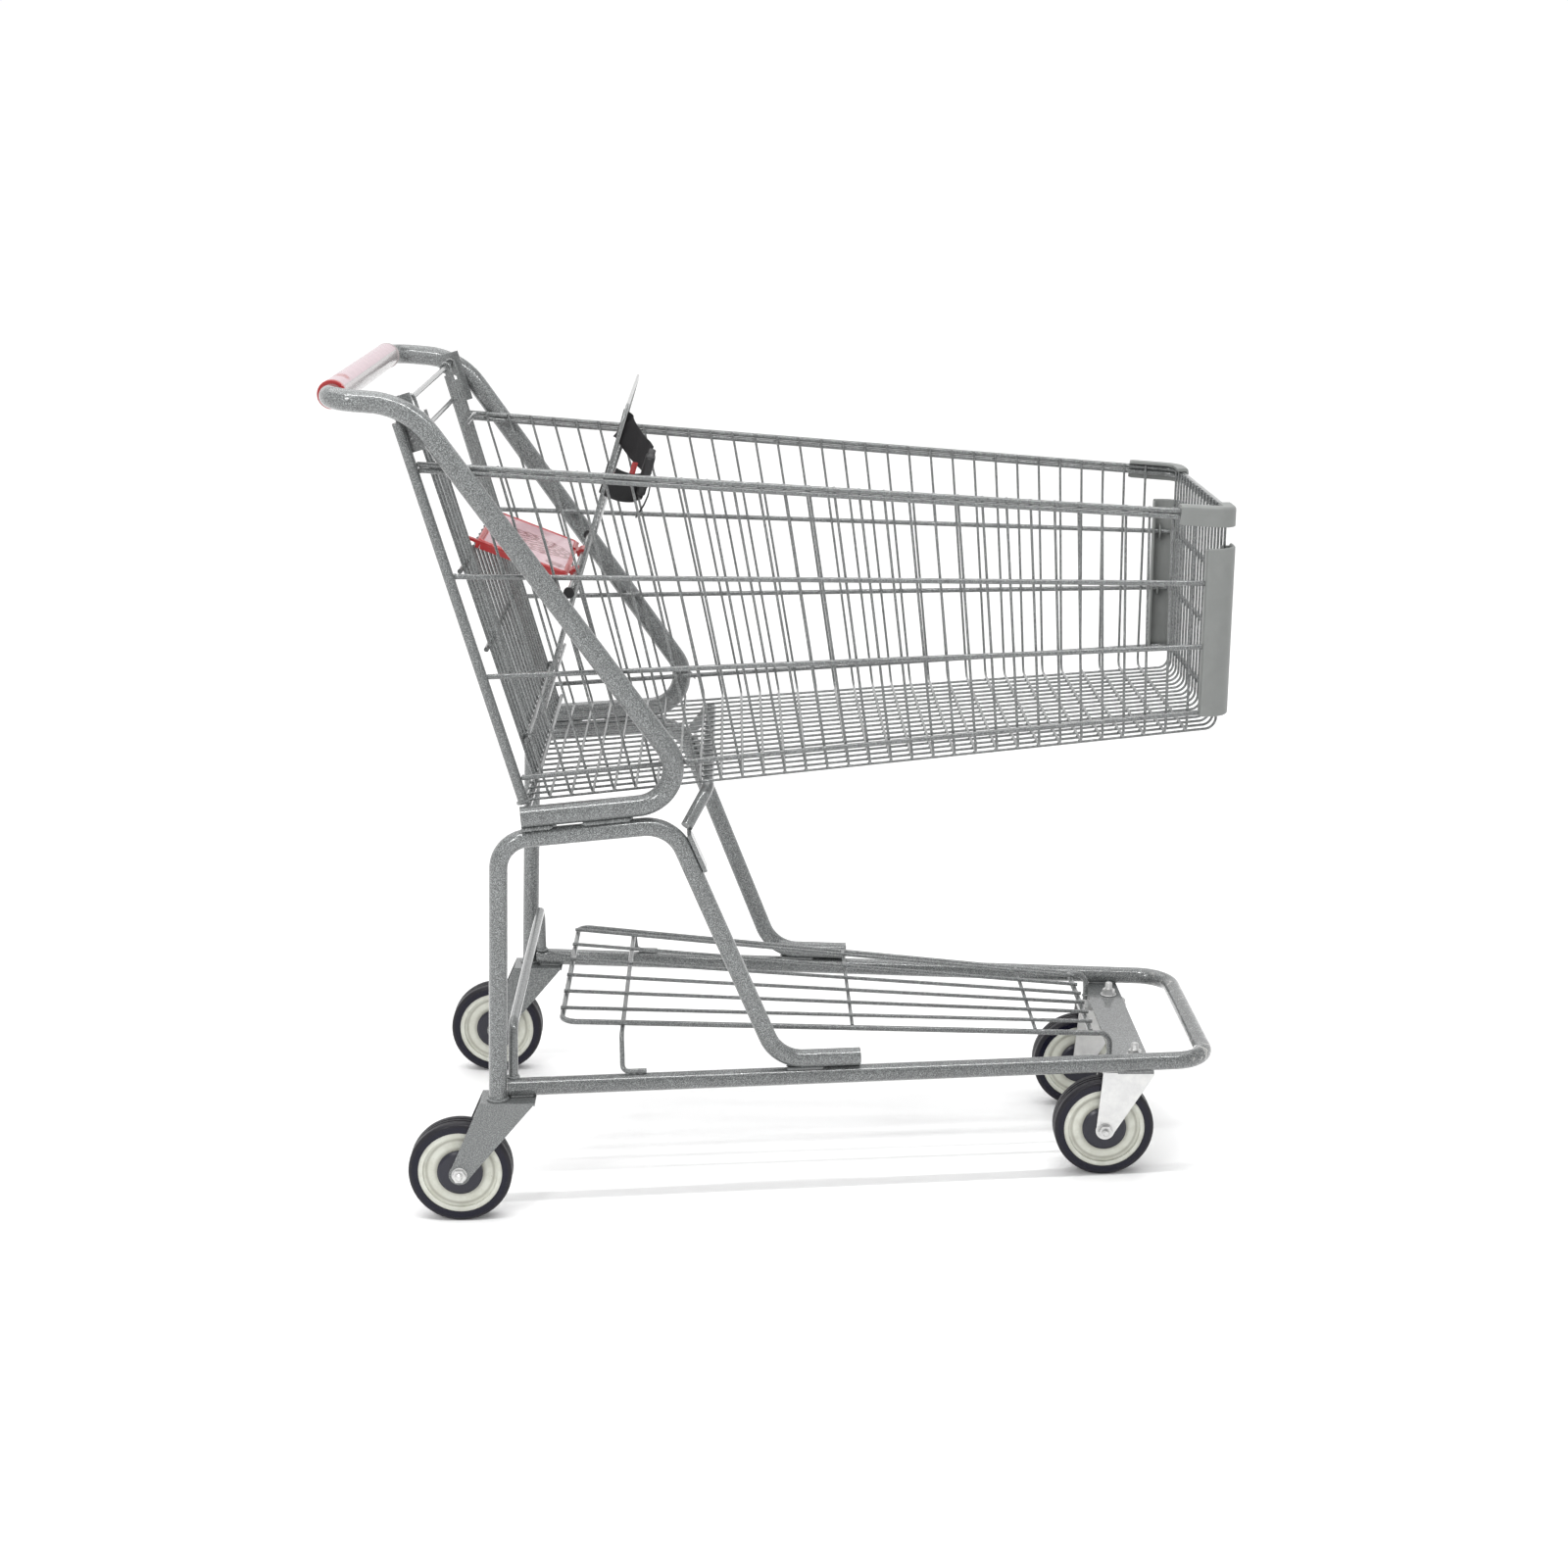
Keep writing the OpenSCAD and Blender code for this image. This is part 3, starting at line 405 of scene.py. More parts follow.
def curve_through(points, bends, step=0.003):
    """The path along the points with its inner corners rounded to the given radii, in metres."""
    path = [points[0]]
    for before, corner, after, radius in zip(points, points[1:], points[2:], bends):
        a, b = (before - corner).normalized(), (after - corner).normalized()
        half = a.angle(b) / 2
        cut = radius / math.tan(half)
        centre = corner + (a + b).normalized() * (radius / math.sin(half))
        first, last = corner + a * cut - centre, corner + b * cut - centre
        turn, axis = first.angle(last), first.cross(last)
        count = max(3, int(turn * radius / step))
        for i in range(count + 1):
            path.append(centre + Matrix.Rotation(turn * i / count, 3, axis) @ first)
    path.append(points[-1])
    return path


def smooth_through(points, cuts=5):
    """A smooth path through every point, each stretch cut into the given number of pieces."""
    path = []
    for i in range(len(points) - 1):
        a, b = points[max(i - 1, 0)], points[i]
        c, d = points[i + 1], points[min(i + 2, len(points) - 1)]
        for cut in range(cuts):
            t = cut / cuts
            path.append(0.5 * (2 * b + (c - a) * t + (2 * a - 5 * b + 4 * c - d) * t * t
                               + (3 * b - a - 3 * c + d) * t ** 3))
    return path + [points[-1]]


def spaced(points, step):
    """The same path cut into pieces of about step metres."""
    path = []
    for a, b in zip(points, points[1:]):
        count = max(1, round((b - a).length / step))
        path += [a.lerp(b, i / count) for i in range(count)]
    return path + [points[-1]]


def turned(axis, share):
    """A matrix for a share of one full turn about the axis."""
    return Matrix.Rotation(math.tau * share, 3, axis)


def place_in_scene(name, data):
    item = bpy.data.objects.new(name, data)
    bpy.context.scene.collection.objects.link(item)
    return item


def unit_ball():
    """Points and faces of a ball of radius 1."""
    bm = bmesh.new()
    bmesh.ops.create_icosphere(bm, subdivisions=2, radius=1.0)
    points = [vert.co.copy() for vert in bm.verts]
    faces = [[vert.index for vert in face.verts] for face in bm.faces]
    bm.free()
    return points, faces


BALL_POINTS, BALL_FACES = unit_ball()
BEAD_STEP = 0.0011
THREAD_PITCH = 0.0015
THREAD_RIDGE = ((0.0, -0.00055), (0.00055, 0.0), (0.0, 0.00055), (-0.0006, 0.0))
SHARP_ANGLE = math.radians(40)


class Shapes:
    """Closed shapes gathered into one mesh."""

    def __init__(self):
        self.points = []
        self.faces = []

    def loft(self, rings):
        """A skin over the rings of points, with a face on each end."""
        start, count = len(self.points), len(rings[0])
        for ring in rings:
            self.points += ring
        for row in range(len(rings) - 1):
            a = start + row * count
            for i in range(count):
                j = (i + 1) % count
                self.faces.append((a + i, a + j, a + count + j, a + count + i))
        self.faces.append(tuple(range(start + count - 1, start - 1, -1)))
        self.faces.append(tuple(range(len(self.points) - count, len(self.points))))

    def sweep(self, path, profiles, up):
        """Carries one profile, or one per point, along the path; its second axis runs along up."""
        if isinstance(profiles[0], tuple):
            profiles = [profiles] * len(path)
        rings = []
        for i, point in enumerate(path):
            ahead = (path[min(i + 1, len(path) - 1)] - path[max(i - 1, 0)]).normalized()
            across = ahead.cross(up).normalized()
            rise = across.cross(ahead)
            rings.append([point + across * u + rise * v for u, v in profiles[i]])
        self.loft(rings)

    def bead(self, points, radius, closed=False):
        """A weld bead: a lumpy rope with ripples and tapering ends, or a closed ring."""
        path = spaced(points, BEAD_STEP)
        profiles = []
        for i in range(len(path)):
            ripple = 1.0 + 0.13 * math.sin(i * 1.9) + random.uniform(-0.10, 0.10)
            taper = 1.0 if closed else min(1.0, 0.25 + 0.30 * min(i, len(path) - 1 - i))
            profiles.append(circle(radius * ripple * taper, 8))
        ahead = (points[1] - points[0]).normalized()
        self.sweep(path, profiles, UP if abs(ahead.z) < 0.8 else Vector((1, 0, 0)))

    def ring_bead(self, centre, axis, ring_radius, radius):
        """A weld bead all round a tube or rod."""
        side = axis.orthogonal().normalized() * ring_radius
        self.bead([centre + turned(axis, i / 24) @ side for i in range(25)], radius, closed=True)

    def nugget(self, centre, size, along=UP):
        """A small flattened lump of three half widths in millimetres, the last along `along`."""
        turn = along.to_track_quat("Z", "Y").to_matrix()
        shape = turn @ Matrix.Diagonal([s * MM * random.uniform(0.88, 1.12) for s in size])
        start = len(self.points)
        self.points += [centre + shape @ point for point in BALL_POINTS]
        self.faces += [tuple(start + i for i in face) for face in BALL_FACES]

    def disc(self, centre, axis, radius, thickness, sides=32, edge=0.0003):
        """A round or polygonal plate with softened edges."""
        side = axis.orthogonal().normalized()
        rings = []
        for offset, r in ((0.0, radius - edge), (edge, radius),
                          (thickness - edge, radius), (thickness, radius - edge)):
            rings.append([centre + axis * offset + turned(axis, i / sides) @ side * r
                          for i in range(sides)])
        self.loft(rings)

    def thread(self, centre, axis, radius, length):
        """A helical ridge round a stud."""
        side = axis.orthogonal().normalized() * radius
        turns = length / THREAD_PITCH
        count = int(turns * 20)
        path = [centre + axis * (length * i / count) + turned(axis, turns * i / count) @ side
                for i in range(count + 1)]
        self.sweep(path, THREAD_RIDGE, axis)

    def make(self, name, material, body):
        mesh = bpy.data.meshes.new(name)
        mesh.from_pydata(self.points, [], self.faces)
        bm = bmesh.new()
        bm.from_mesh(mesh)
        bmesh.ops.recalc_face_normals(bm, faces=bm.faces)
        bm.to_mesh(mesh)
        bm.free()
        mesh.materials.append(material)
        piece = place_in_scene(name, mesh)
        mesh.shade_smooth()
        mesh.set_sharp_from_angle(angle=SHARP_ANGLE)
        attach(piece, body)
        return piece


# ---------- the cart's lines, in millimetres ----------

PLATE_TOP = 156.6  # the caster plate's upper face
FORK_FACE = 22.8  # from a wheel's middle to the outside of its fork or yoke
STEM_X, STEM_Y, TRAIL = 846.0, 115.0, 37.0
AXLE_Z, REAR_HALF_TRACK = 63.5, 250.0
BASE_UNDER, BASE_TOP = 157.8, 179.9  # where beads lie under and on the base tube
FIRST_WIRE_X, WIRE_PITCH, WIRE_COUNT = 117, 25.4, 31  # the basket's cross wires
LONG_COUNT, LONG_INSET = 18, 14  # the floor's long wires, and their distance from the rails' line
FRONT_X, FRONT_RAIL_X, RAIL_OUT = 917.0, 922.05, 5.05
BASKET_TAPER = 0.0705
UPRIGHT_LEAN = 0.294
HANDLE_LEAN, HANDLE_FOOT_X, HANDLE_FOOT_Z = 0.7146, 301.3, 533.2
RIM_Z, RIM_FALL = 925.2, 0.0703
STRUT_TOP_X, STRUT_LOW_X, STRUT_LOW_Z = 262, 389, 190.5
BRACE_PLATE_Z = 463
# Height at the rear axle's x, and rise per millimetre of x; the rim's two rails come first.
RAILS = ((928.5, -0.0703), (921.9, -0.0703), (800.6, -0.021), (680.2, 0.0283), (552.5, 0.0813))


def base_half(x):
    return 252.9 - 0.1033 * x


def basket_half(x):
    return 250.8 - BASKET_TAPER * x


def handle_half(x):
    return 272.0 - BASKET_TAPER * x


def foot_z(x):
    return 516.5 + 0.083 * (x - 100)


def floor_z(x):
    return 519.0 + 0.0897 * x


def rim_z(x):
    return RIM_Z - RIM_FALL * x


def upright_x(z):
    return -49.4 + UPRIGHT_LEAN * (992.0 - z)


def long_wire_y(k, x):
    return (2 * k / (LONG_COUNT - 1) - 1) * (basket_half(x) - LONG_INSET)


# ---------- welds ----------

# Straight runs of bead, from one x to another. On the base, z follows: the fork's, the strut's
# and the caster plate's.
FOOT_RUNS = ((84, 122), (156, 214))
BASE_RUNS = ((62, 92, BASE_UNDER), (400, 446, 179.25), (826, 860, BASE_UNDER))
FOOT_SPREAD, BASE_SPREAD, BRACE_SPREAD = (-5.5, 5.5), (-5.8, 5.8), (-6.5, 6.5)
FOOT_GAP_DROP = 14.2  # from the handle foot's middle down to the bead
LEG_X, BRACE_X = 48, 66
UPRIGHT_FOOT_Z, UPRIGHT_FOOT_Y = 530, 249.6
LOWEST_HANDLE_WELD_Z = 560
SUPPORT_WELDS_X = (205, 213, 221)
RACK_END_X, RACK_END_Y, RACK_END_Z = 814, 112, 157.2


def foot_welds(w, side):
    """Runs between the handle's foot and the side frame under it."""
    for run in FOOT_RUNS:
        for off in FOOT_SPREAD:
            line = [at(x, side * (handle_half(x) + off), foot_z(x) - FOOT_GAP_DROP)
                    for x in run]
            w.bead(line, 2.7 * MM)


def base_welds(w, side):
    """The rear leg, the rear fork, the strut, the caster plate and the brace on the base."""
    w.ring_bead(at(LEG_X, side * (base_half(LEG_X) + 9), BASE_UNDER), UP, 11.7 * MM, 2.1 * MM)
    for start, end, z in BASE_RUNS:
        for off in BASE_SPREAD:
            w.bead([at(x, side * (base_half(x) + off), z) for x in (start, end)], 2.0 * MM)
    w.ring_bead(at(BRACE_X, side * (base_half(BRACE_X) - 4), BASE_TOP), UP, 6.4 * MM, 1.8 * MM)


def strut_welds(w, side):
    """Both edges of the front brace's plate on the side frame's strut."""
    top = Vector((STRUT_TOP_X, side * handle_half(STRUT_TOP_X), foot_z(STRUT_TOP_X) - 26.6))
    low = Vector((STRUT_LOW_X, side * base_half(STRUT_LOW_X), STRUT_LOW_Z))
    strut = (low - top).normalized()
    out = Vector((-strut.z, 0, strut.x)).normalized()
    middle = top + strut * ((BRACE_PLATE_Z - top.z) / strut.z)
    middle = middle + out * 11.6 + Vector((0, -side * 6, 0))
    across = strut.cross(out)
    for off in BRACE_SPREAD:
        w.bead([at(*(middle + across * off + strut * t)) for t in (-24, 25)], 2.0 * MM)


def rail_welds(w, side):
    """The upright's foot, and the rails where they meet the upright and the handle tube."""
    upright = Vector((-UPRIGHT_LEAN, 0, 1)).normalized()
    slant = Vector((-HANDLE_LEAN, 0, 1)).normalized()
    foot = at(upright_x(UPRIGHT_FOOT_Z), side * UPRIGHT_FOOT_Y, UPRIGHT_FOOT_Z)
    w.ring_bead(foot, upright, 6.6 * MM, 2.0 * MM)
    for z, slope in RAILS:
        x = upright_x(z) + 6.8
        place = at(x, side * (basket_half(x) + 5.0), z + slope * x)
        w.nugget(place, (2.6, 3.4, 3.6))
        x = HANDLE_FOOT_X - (z + slope * 150 - HANDLE_FOOT_Z) * HANDLE_LEAN
        if z + slope * x > LOWEST_HANDLE_WELD_Z:
            place = at(x, side * (basket_half(x) + 8.4), z + slope * x)
            w.nugget(place, (3.6, 2.0, 6.5), slant)


def rack_welds(w, side):
    """The rack's bent support on the base tube, and the rack frame's end on the caster plate."""
    for x in SUPPORT_WELDS_X:
        w.nugget(at(x, side * base_half(x), 179.6), (3.0, 3.4, 1.3))
    w.ring_bead(at(RACK_END_X, side * RACK_END_Y, RACK_END_Z), UP, 3.7 * MM, 1.2 * MM)


def frame_beads():
    """Beads where the frame's tubes, plates and rods are welded together."""
    w = Shapes()
    for side in SIDES:
        for weld in (foot_welds, base_welds, strut_welds, rail_welds, rack_welds):
            weld(w, side)
    w.make("weld_beads", weld_paint, "cart")


def spot_welds():
    """Small nuggets where the basket's wires cross."""
    w = Shapes()
    for i in range(WIRE_COUNT):
        x = FIRST_WIRE_X + WIRE_PITCH * i
        low = Vector((x, 0, floor_z(x) + 3.5))
        tilt = UPRIGHT_LEAN * (1 - i / (WIRE_COUNT - 1))
        high = Vector((x - tilt * (rim_z(x) - low.z), 0, rim_z(x)))
        rise = high - low
        for z0, slope in RAILS:
            t = (z0 + slope * low.x - low.z) / (rise.z - slope * rise.x)
            hit = low + rise * t
            for side in SIDES:
                place = at(hit.x, side * (basket_half(hit.x) + 1.5), hit.z)
                w.nugget(place, (2.5, 1.1, 2.5))
        for k in range(LONG_COUNT):
            place = at(x, long_wire_y(k, x), floor_z(x) + 1.75)
            w.nugget(place, (2.3, 2.3, 1.2))
    for k in range(LONG_COUNT):
        for z0, slope in RAILS:
            place = at(FRONT_X + 1.6, long_wire_y(k, FRONT_X), z0 + slope * FRONT_RAIL_X)
            w.nugget(place, (1.1, 2.4, 2.4))
    w.make("spot_welds", wire_paint, "cart")


# ---------- bolts ----------

AXLE_STUD_R = 3.9 * MM
WASHER_R, WASHER_THICK, WASHER_SUNK = 9.6 * MM, 1.2 * MM, 0.2
NUT_HEIGHT = 6.0
STEM_THREAD_UP, STEM_TIP_UP = 8.3, 16.8  # above the caster plate
RACES = ((142.4, 24.5, 2.2), (145.2, 22.4, 2.6), (148.3, 23.6, 2.0))  # bottom z, radius, height


def bolt_end(shapes, face, axis):
    """A flange washer on the face, and a threaded stud end beyond the nut."""
    shapes.disc(face - axis * WASHER_SUNK * MM, axis, WASHER_R, WASHER_THICK, edge=0.4 * MM)
    tip = face + axis * NUT_HEIGHT * MM
    shapes.disc(tip, axis, AXLE_STUD_R, 4.2 * MM, 24, edge=0.9 * MM)
    shapes.thread(tip, axis, AXLE_STUD_R, 3.6 * MM)


def bolt_details():
    """Washers and stud ends on the axles, and on top of the caster stems."""
    fixed = Shapes()
    for side, hand in SIDES.items():
        out = Vector((0, side, 0))
        bolt_end(fixed, at(0, side * (REAR_HALF_TRACK + FORK_FACE), AXLE_Z), out)
        bolt_end(fixed, at(0, side * (REAR_HALF_TRACK - FORK_FACE), AXLE_Z), -out)
        stem = at(STEM_X, side * STEM_Y, PLATE_TOP)
        fixed.disc(stem + UP * 0.1 * MM, UP, 11.0 * MM, 1.7 * MM, edge=0.5 * MM)
        fixed.thread(stem + UP * STEM_THREAD_UP * MM, UP, 4.5 * MM, 7.6 * MM)
        fixed.disc(stem + UP * STEM_TIP_UP * MM, UP, 4.0 * MM, 1.0 * MM, 24, edge=0.7 * MM)
        swivel = Shapes()
        for face in (-1, 1):
            axle = at(STEM_X - TRAIL, side * STEM_Y + face * FORK_FACE, AXLE_Z)
            bolt_end(swivel, axle, Vector((0, face, 0)))
        swivel.make("axle_end_" + hand, bolt_zinc, "caster_" + hand)
    fixed.make("nuts_and_studs", bolt_zinc, "cart")


def caster_races():
    """The pressed bearing race between each yoke and the caster plate."""
    for side, hand in SIDES.items():
        races = Shapes()
        stem = at(STEM_X, side * STEM_Y, 0)
        for low, radius, height in RACES:
            races.disc(stem + UP * low * MM, UP, radius * MM, height * MM, 40, edge=0.9 * MM)
        races.make("bearing_race_" + hand, bright_zinc, "caster_" + hand)


# ---------- plastic corner guards ----------

GUARD_Z = 722.5
GUARD_THICK, GUARD_TALL, GUARD_EDGE, GUARD_OUT = 4.2 * MM, 203 * MM, 2.0 * MM, 5.6 * MM
GUARD_END = 1.2 * MM
GUARD_BACK, GUARD_INWARD = 29, 33  # how far it reaches from the corner each way
LIP_REACH = (-5.4, 6.5)
GUARD_RAILS = RAILS[2:4]  # the rails its hooks hold
CAP_BACK, CAP_INWARD = 64, 46
CORNER_BEND, SWEEP_STEP = 0.020, 0.004
HOOK_OUTLINE = ((-4, 5.6), (6.2, 5.6), (6.2, -5.6), (-4, -5.6))  # reach and rise
CAP_SECTION = (
    (3.5, -12), (4.2, -12.6), (5.8, -12.6), (6.5, -12), (6.5, 6.5), (6.1, 8.8), (5.0, 10.4),
    (3.2, 11.3), (-7.8, 11.3), (-8.8, 10.9), (-9.2, 9.6), (-9.0, 8.0), (-8.4, 7.3), (2.2, 7.3),
    (3.2, 6.6), (3.5, 5.4))  # outward and up from the rim
CAP_MIDDLE = (-1.0, 2.0)
CAP_END_SCALE = 0.94


def guard_plate(shapes, path, side):
    """The guard's rounded strip along the path, its ends closing over GUARD_END metres."""
    path = spaced(path, SWEEP_STEP)
    first, last = (path[0] - path[1]).normalized(), (path[-1] - path[-2]).normalized()
    path = ([path[0] + first * GUARD_END, path[0] + first * GUARD_END * 0.6] + path
            + [path[-1] + last * GUARD_END * 0.6, path[-1] + last * GUARD_END])
    closing = [GUARD_EDGE * 0.75, GUARD_EDGE * 0.3]
    insets = closing + [0.0] * (len(path) - 4) + closing[::-1]
    profiles = [rounded(GUARD_THICK, GUARD_TALL, GUARD_EDGE, inset, (side * -GUARD_OUT, 0.0))
                for inset in insets]
    shapes.sweep(path, profiles, UP)


def guards():
    """Guards bent round the basket's two front corners, with lips and hooks over the wires."""
    for side, hand in SIDES.items():
        corner = at(FRONT_RAIL_X, side * (basket_half(FRONT_RAIL_X) + RAIL_OUT), GUARD_Z)
        back = Vector((-1, side * BASKET_TAPER, 0)).normalized()
        inward = Vector((0, -side, 0))
        path = [corner + back * GUARD_BACK * MM, corner, corner + inward * GUARD_INWARD * MM]
        path = curve_through(path, [CORNER_BEND])
        plate = Shapes()
        guard_plate(plate, path, side)
        for point, ahead, in_from in ((path[0], back, inward), (path[-1], inward, back)):
            lip = [point + in_from * reach * MM for reach in LIP_REACH]
            plate.sweep(lip, rounded(2.6 * MM, 198 * MM, 1.2 * MM), UP)
            for z0, slope in GUARD_RAILS:
                middle = Vector((point.x, point.y, (z0 + slope * FRONT_RAIL_X) * MM))
                middle -= ahead * 8 * MM
                hook = [middle + in_from * reach * MM + UP * rise * MM
                        for reach, rise in HOOK_OUTLINE]
                hook = curve_through(hook, [0.004, 0.004], 0.0015)
                plate.sweep(hook, rounded(9 * MM, 2.2 * MM, 1 * MM), ahead)
        piece = plate.make("corner_guard_" + hand, guard_plastic, "cart")
        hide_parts("corner_guards")


def rim_caps():
    """Caps hooked over the rim's two front corners: a rounded top with a lip outside."""
    for side, hand in SIDES.items():
        rail_y = side * (basket_half(FRONT_RAIL_X) + RAIL_OUT)
        corner = at(FRONT_RAIL_X, rail_y, rim_z(FRONT_RAIL_X))
        back = Vector((-1, side * BASKET_TAPER, RIM_FALL)).normalized()
        inward = Vector((0, -side * CAP_INWARD * MM, 0))
        path = [corner + back * CAP_BACK * MM, corner, corner + inward]
        path = spaced(curve_through(path, [CORNER_BEND]), SWEEP_STEP)
        profiles = []
        for i in range(len(path)):
            scale = CAP_END_SCALE if i in (0, len(path) - 1) else 1.0
            profiles.append([(-side * ((u - CAP_MIDDLE[0]) * scale + CAP_MIDDLE[0]) * MM,
                              ((v - CAP_MIDDLE[1]) * scale + CAP_MIDDLE[1]) * MM)
                             for u, v in CAP_SECTION])
        cap = Shapes()
        cap.sweep(path, profiles, UP)
        piece = cap.make("rim_cap_" + hand, guard_plastic, "cart")
        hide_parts("rim_caps")


# ---------- child seat ----------

BACK_AT = Vector(joints["seat_back_fold"]["pos_m"])
BACK_LEAN = math.radians(16.6)
BACK_UP = Vector((math.sin(BACK_LEAN), 0, math.cos(BACK_LEAN)))
BACK_OUT = Vector((math.cos(BACK_LEAN), 0, -math.sin(BACK_LEAN)))
BOARD_AT = Vector(joints["seat_board_fold"]["pos_m"])
BOARD_ALONG = Vector((-0.9328, 0, 0.3606))
BOARD_UP = Vector((0.3606, 0, 0.9328))
BOARD_LEN, BOARD_HALF = 124.8, 116.0
RIM_R = 3.4 * MM
HOOK_ROOT_Y, HOOK_END_Y, HOOK_REACH = 110, 136.8, 25
RIB_YS = range(-84, 85, 24)

BELT_RUNS = ((1, 360, 332), (-1, 304, 300))  # side, then s at the wire and at the buckle
BELT_SAG = 5.0
# Share of a run, distance to the side, and distance in front of the seat back.
BELT_LINE = (
    (0.0, 49.5, 2.6), (0.02, 54.5, 1.6), (0.05, 57.4, 4.4), (0.10, 56.6, 8.0),
    (0.25, 49.5, 15.6), (0.45, 38.5, 26.0), (0.65, 27.5, 35.4), (0.82, 19.0, 42.6),
    (1.0, 11.0, 46.8))
BELT_TAIL = ((312, 57.0), (304, 58.4), (292, 59.2), (280, 57.6), (270, 54.6), (262, 52.2))
STRAP_WIDE, TAIL_WIDE, STRAP_THICK, STRAP_EDGE = 37 * MM, 24 * MM, 1.7 * MM, 0.7 * MM
STRAP_BOW = 0.0008  # how far a run's middle bows out
BUCKLE_S, BUCKLE_OFF, RIDGE_OFF = 316.0, 49, 55.0
# y from and to, width and thickness: the buckle's body, its end lip and the tongue's two bars.
BUCKLE_BLOCKS = ((-25, 4, 50, 12.5), (-27, -24, 46, 9.0), (9, 13, 50, 11.0), (20, 25, 50, 8.5))
BUCKLE_ARM = ((20, 12), (24, 6), (28.5, -1), (30.0, -8), (27, -15), (22, -19))  # s and y
BLOCK_INSETS = (1.6, 0.5, 0.0, 0.0, 0.5, 1.6)


def on_back(s, y, off):
    """A point s up the seat back and off in front of its hinge line; millimetres."""
    return BACK_AT + (BACK_UP * s + BACK_OUT * off) * MM + Vector((0, y * MM, 0))


def on_board(x, y, z):
    """A point x along the seat board from its rod and z above it; millimetres."""
    return BOARD_AT + (BOARD_ALONG * x + BOARD_UP * z) * MM + Vector((0, y * MM, 0))


def seat_rim():
    """The board's rounded rim and ribs underneath, and the round hooks over the gate's wires."""
    rim = Shapes()
    inner, outer, edge = 12.0, BOARD_LEN - 3.5, BOARD_HALF - 3
    corners = [on_board(x, y, 0.6) for x, y in ((inner, -60), (inner, -edge), (outer, -edge),
                                                (outer, edge), (inner, edge), (inner, 60))]
    outline = curve_through(corners, [0.007, 0.012, 0.012, 0.007], 0.002)
    rim.sweep(outline, circle(RIM_R, 14), BOARD_UP)
    for side in SIDES:
        hook = [on_board(BOARD_LEN + reach, side * y, 0)
                for reach, y in ((-14, HOOK_ROOT_Y), (HOOK_REACH, HOOK_ROOT_Y),
                                 (HOOK_REACH, HOOK_END_Y))]
        hook = curve_through(hook, [0.005], 0.001)
        rim.sweep(hook, rounded(5.4 * MM, 4.2 * MM, 2.0 * MM), BOARD_UP)
    for y in RIB_YS:
        rib = [on_board(14, y, -3.6), on_board(BOARD_LEN - 6, y, -3.6)]
        rim.sweep(rib, rounded(3 * MM, 4 * MM, 1.2 * MM), BOARD_UP)
    rim.make("seat_rim", red_plastic, "seat_board")


def belt():
    """The safety belt, fastened: two runs of webbing, drooping from the seat back to the buckle."""
    runs = Shapes()
    for side, start, end in BELT_RUNS:
        path = smooth_through([
            on_back(start + (end - start) * t - BELT_SAG * math.sin(math.pi * t), side * y, off)
            for t, y, off in BELT_LINE])
        shifts = [STRAP_BOW * math.sin(math.pi * i / (len(path) - 1)) for i in range(len(path))]
        profiles = [rounded(STRAP_THICK, STRAP_WIDE, STRAP_EDGE, centre=(shift, 0.0))
                    for shift in shifts]
        runs.sweep(path, profiles, BACK_UP)
    tail = [on_back(s, -13 - 0.1 * (300 - s), off) for s, off in BELT_TAIL]
    runs.sweep(spaced(tail, 0.003), rounded(TAIL_WIDE, STRAP_THICK, STRAP_EDGE), BACK_OUT)
    strap = runs.make("belt_webbing", belt_webbing, "seat_back")
    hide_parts("belt_strap")
    tag = Shapes()
    patch = [on_back(322, -34, 30.2), on_back(322, -28, 35.2)]
    tag.sweep(patch, rounded(2.6 * MM, 15 * MM, 0.5 * MM), BACK_UP)
    tag.make("belt_tag", red_plastic, "seat_back")


def buckle():
    """A side-release buckle: a rounded body, a framed tongue and its two sprung arms."""
    b = Shapes()
    for y0, y1, width, thick in BUCKLE_BLOCKS:
        stops = (y0, y0 + 1.0, y0 + 2.0, y1 - 2.0, y1 - 1.0, y1)
        profiles = [rounded(thick * MM, width * MM, 3.2 * MM, inset * MM)
                    for inset in BLOCK_INSETS]
        b.sweep([on_back(BUCKLE_S, y, BUCKLE_OFF) for y in stops], profiles, BACK_UP)
    for edge in SIDES:
        frame_side = [on_back(BUCKLE_S + edge * 22, y, BUCKLE_OFF) for y in (10, 23)]
        b.sweep(frame_side, rounded(8 * MM, 5 * MM, 2 * MM), BACK_UP)
        arm = [on_back(BUCKLE_S + edge * s, y, BUCKLE_OFF) for s, y in BUCKLE_ARM]
        b.sweep(spaced(arm, 0.002), rounded(9 * MM, 5.5 * MM, 2.4 * MM), BACK_UP)
        for s in (4, 9, 14):
            ridge = [on_back(BUCKLE_S + edge * s, y, RIDGE_OFF) for y in (-20, -6)]
            b.sweep(ridge, rounded(1.6 * MM, 2.0 * MM, 0.7 * MM), BACK_UP)
    body = b.make("belt_buckle_closed", black_plastic, "seat_back")
    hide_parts("belt_buckle")


# ---------- grip ----------

COLLAR_R = 16.6 * MM


def grip_collars():
    """A red collar at the grip's right end and a clear one at its left end."""
    for side, width, material, slot in ((-1, 8.5, red_plastic, "red_plastic"),
                                        (1, 2.4, clear_sleeve, "grip_sleeve")):
        end = Vector((grip_centre.x, side * (grip_high.y + 0.3 * MM), grip_centre.z))
        collar = Shapes()
        collar.disc(end, Vector((0, -side, 0)), COLLAR_R, width * MM, 48, edge=0.8 * MM)
        collar.make("grip_collar_" + SIDES[side], material, "cart")


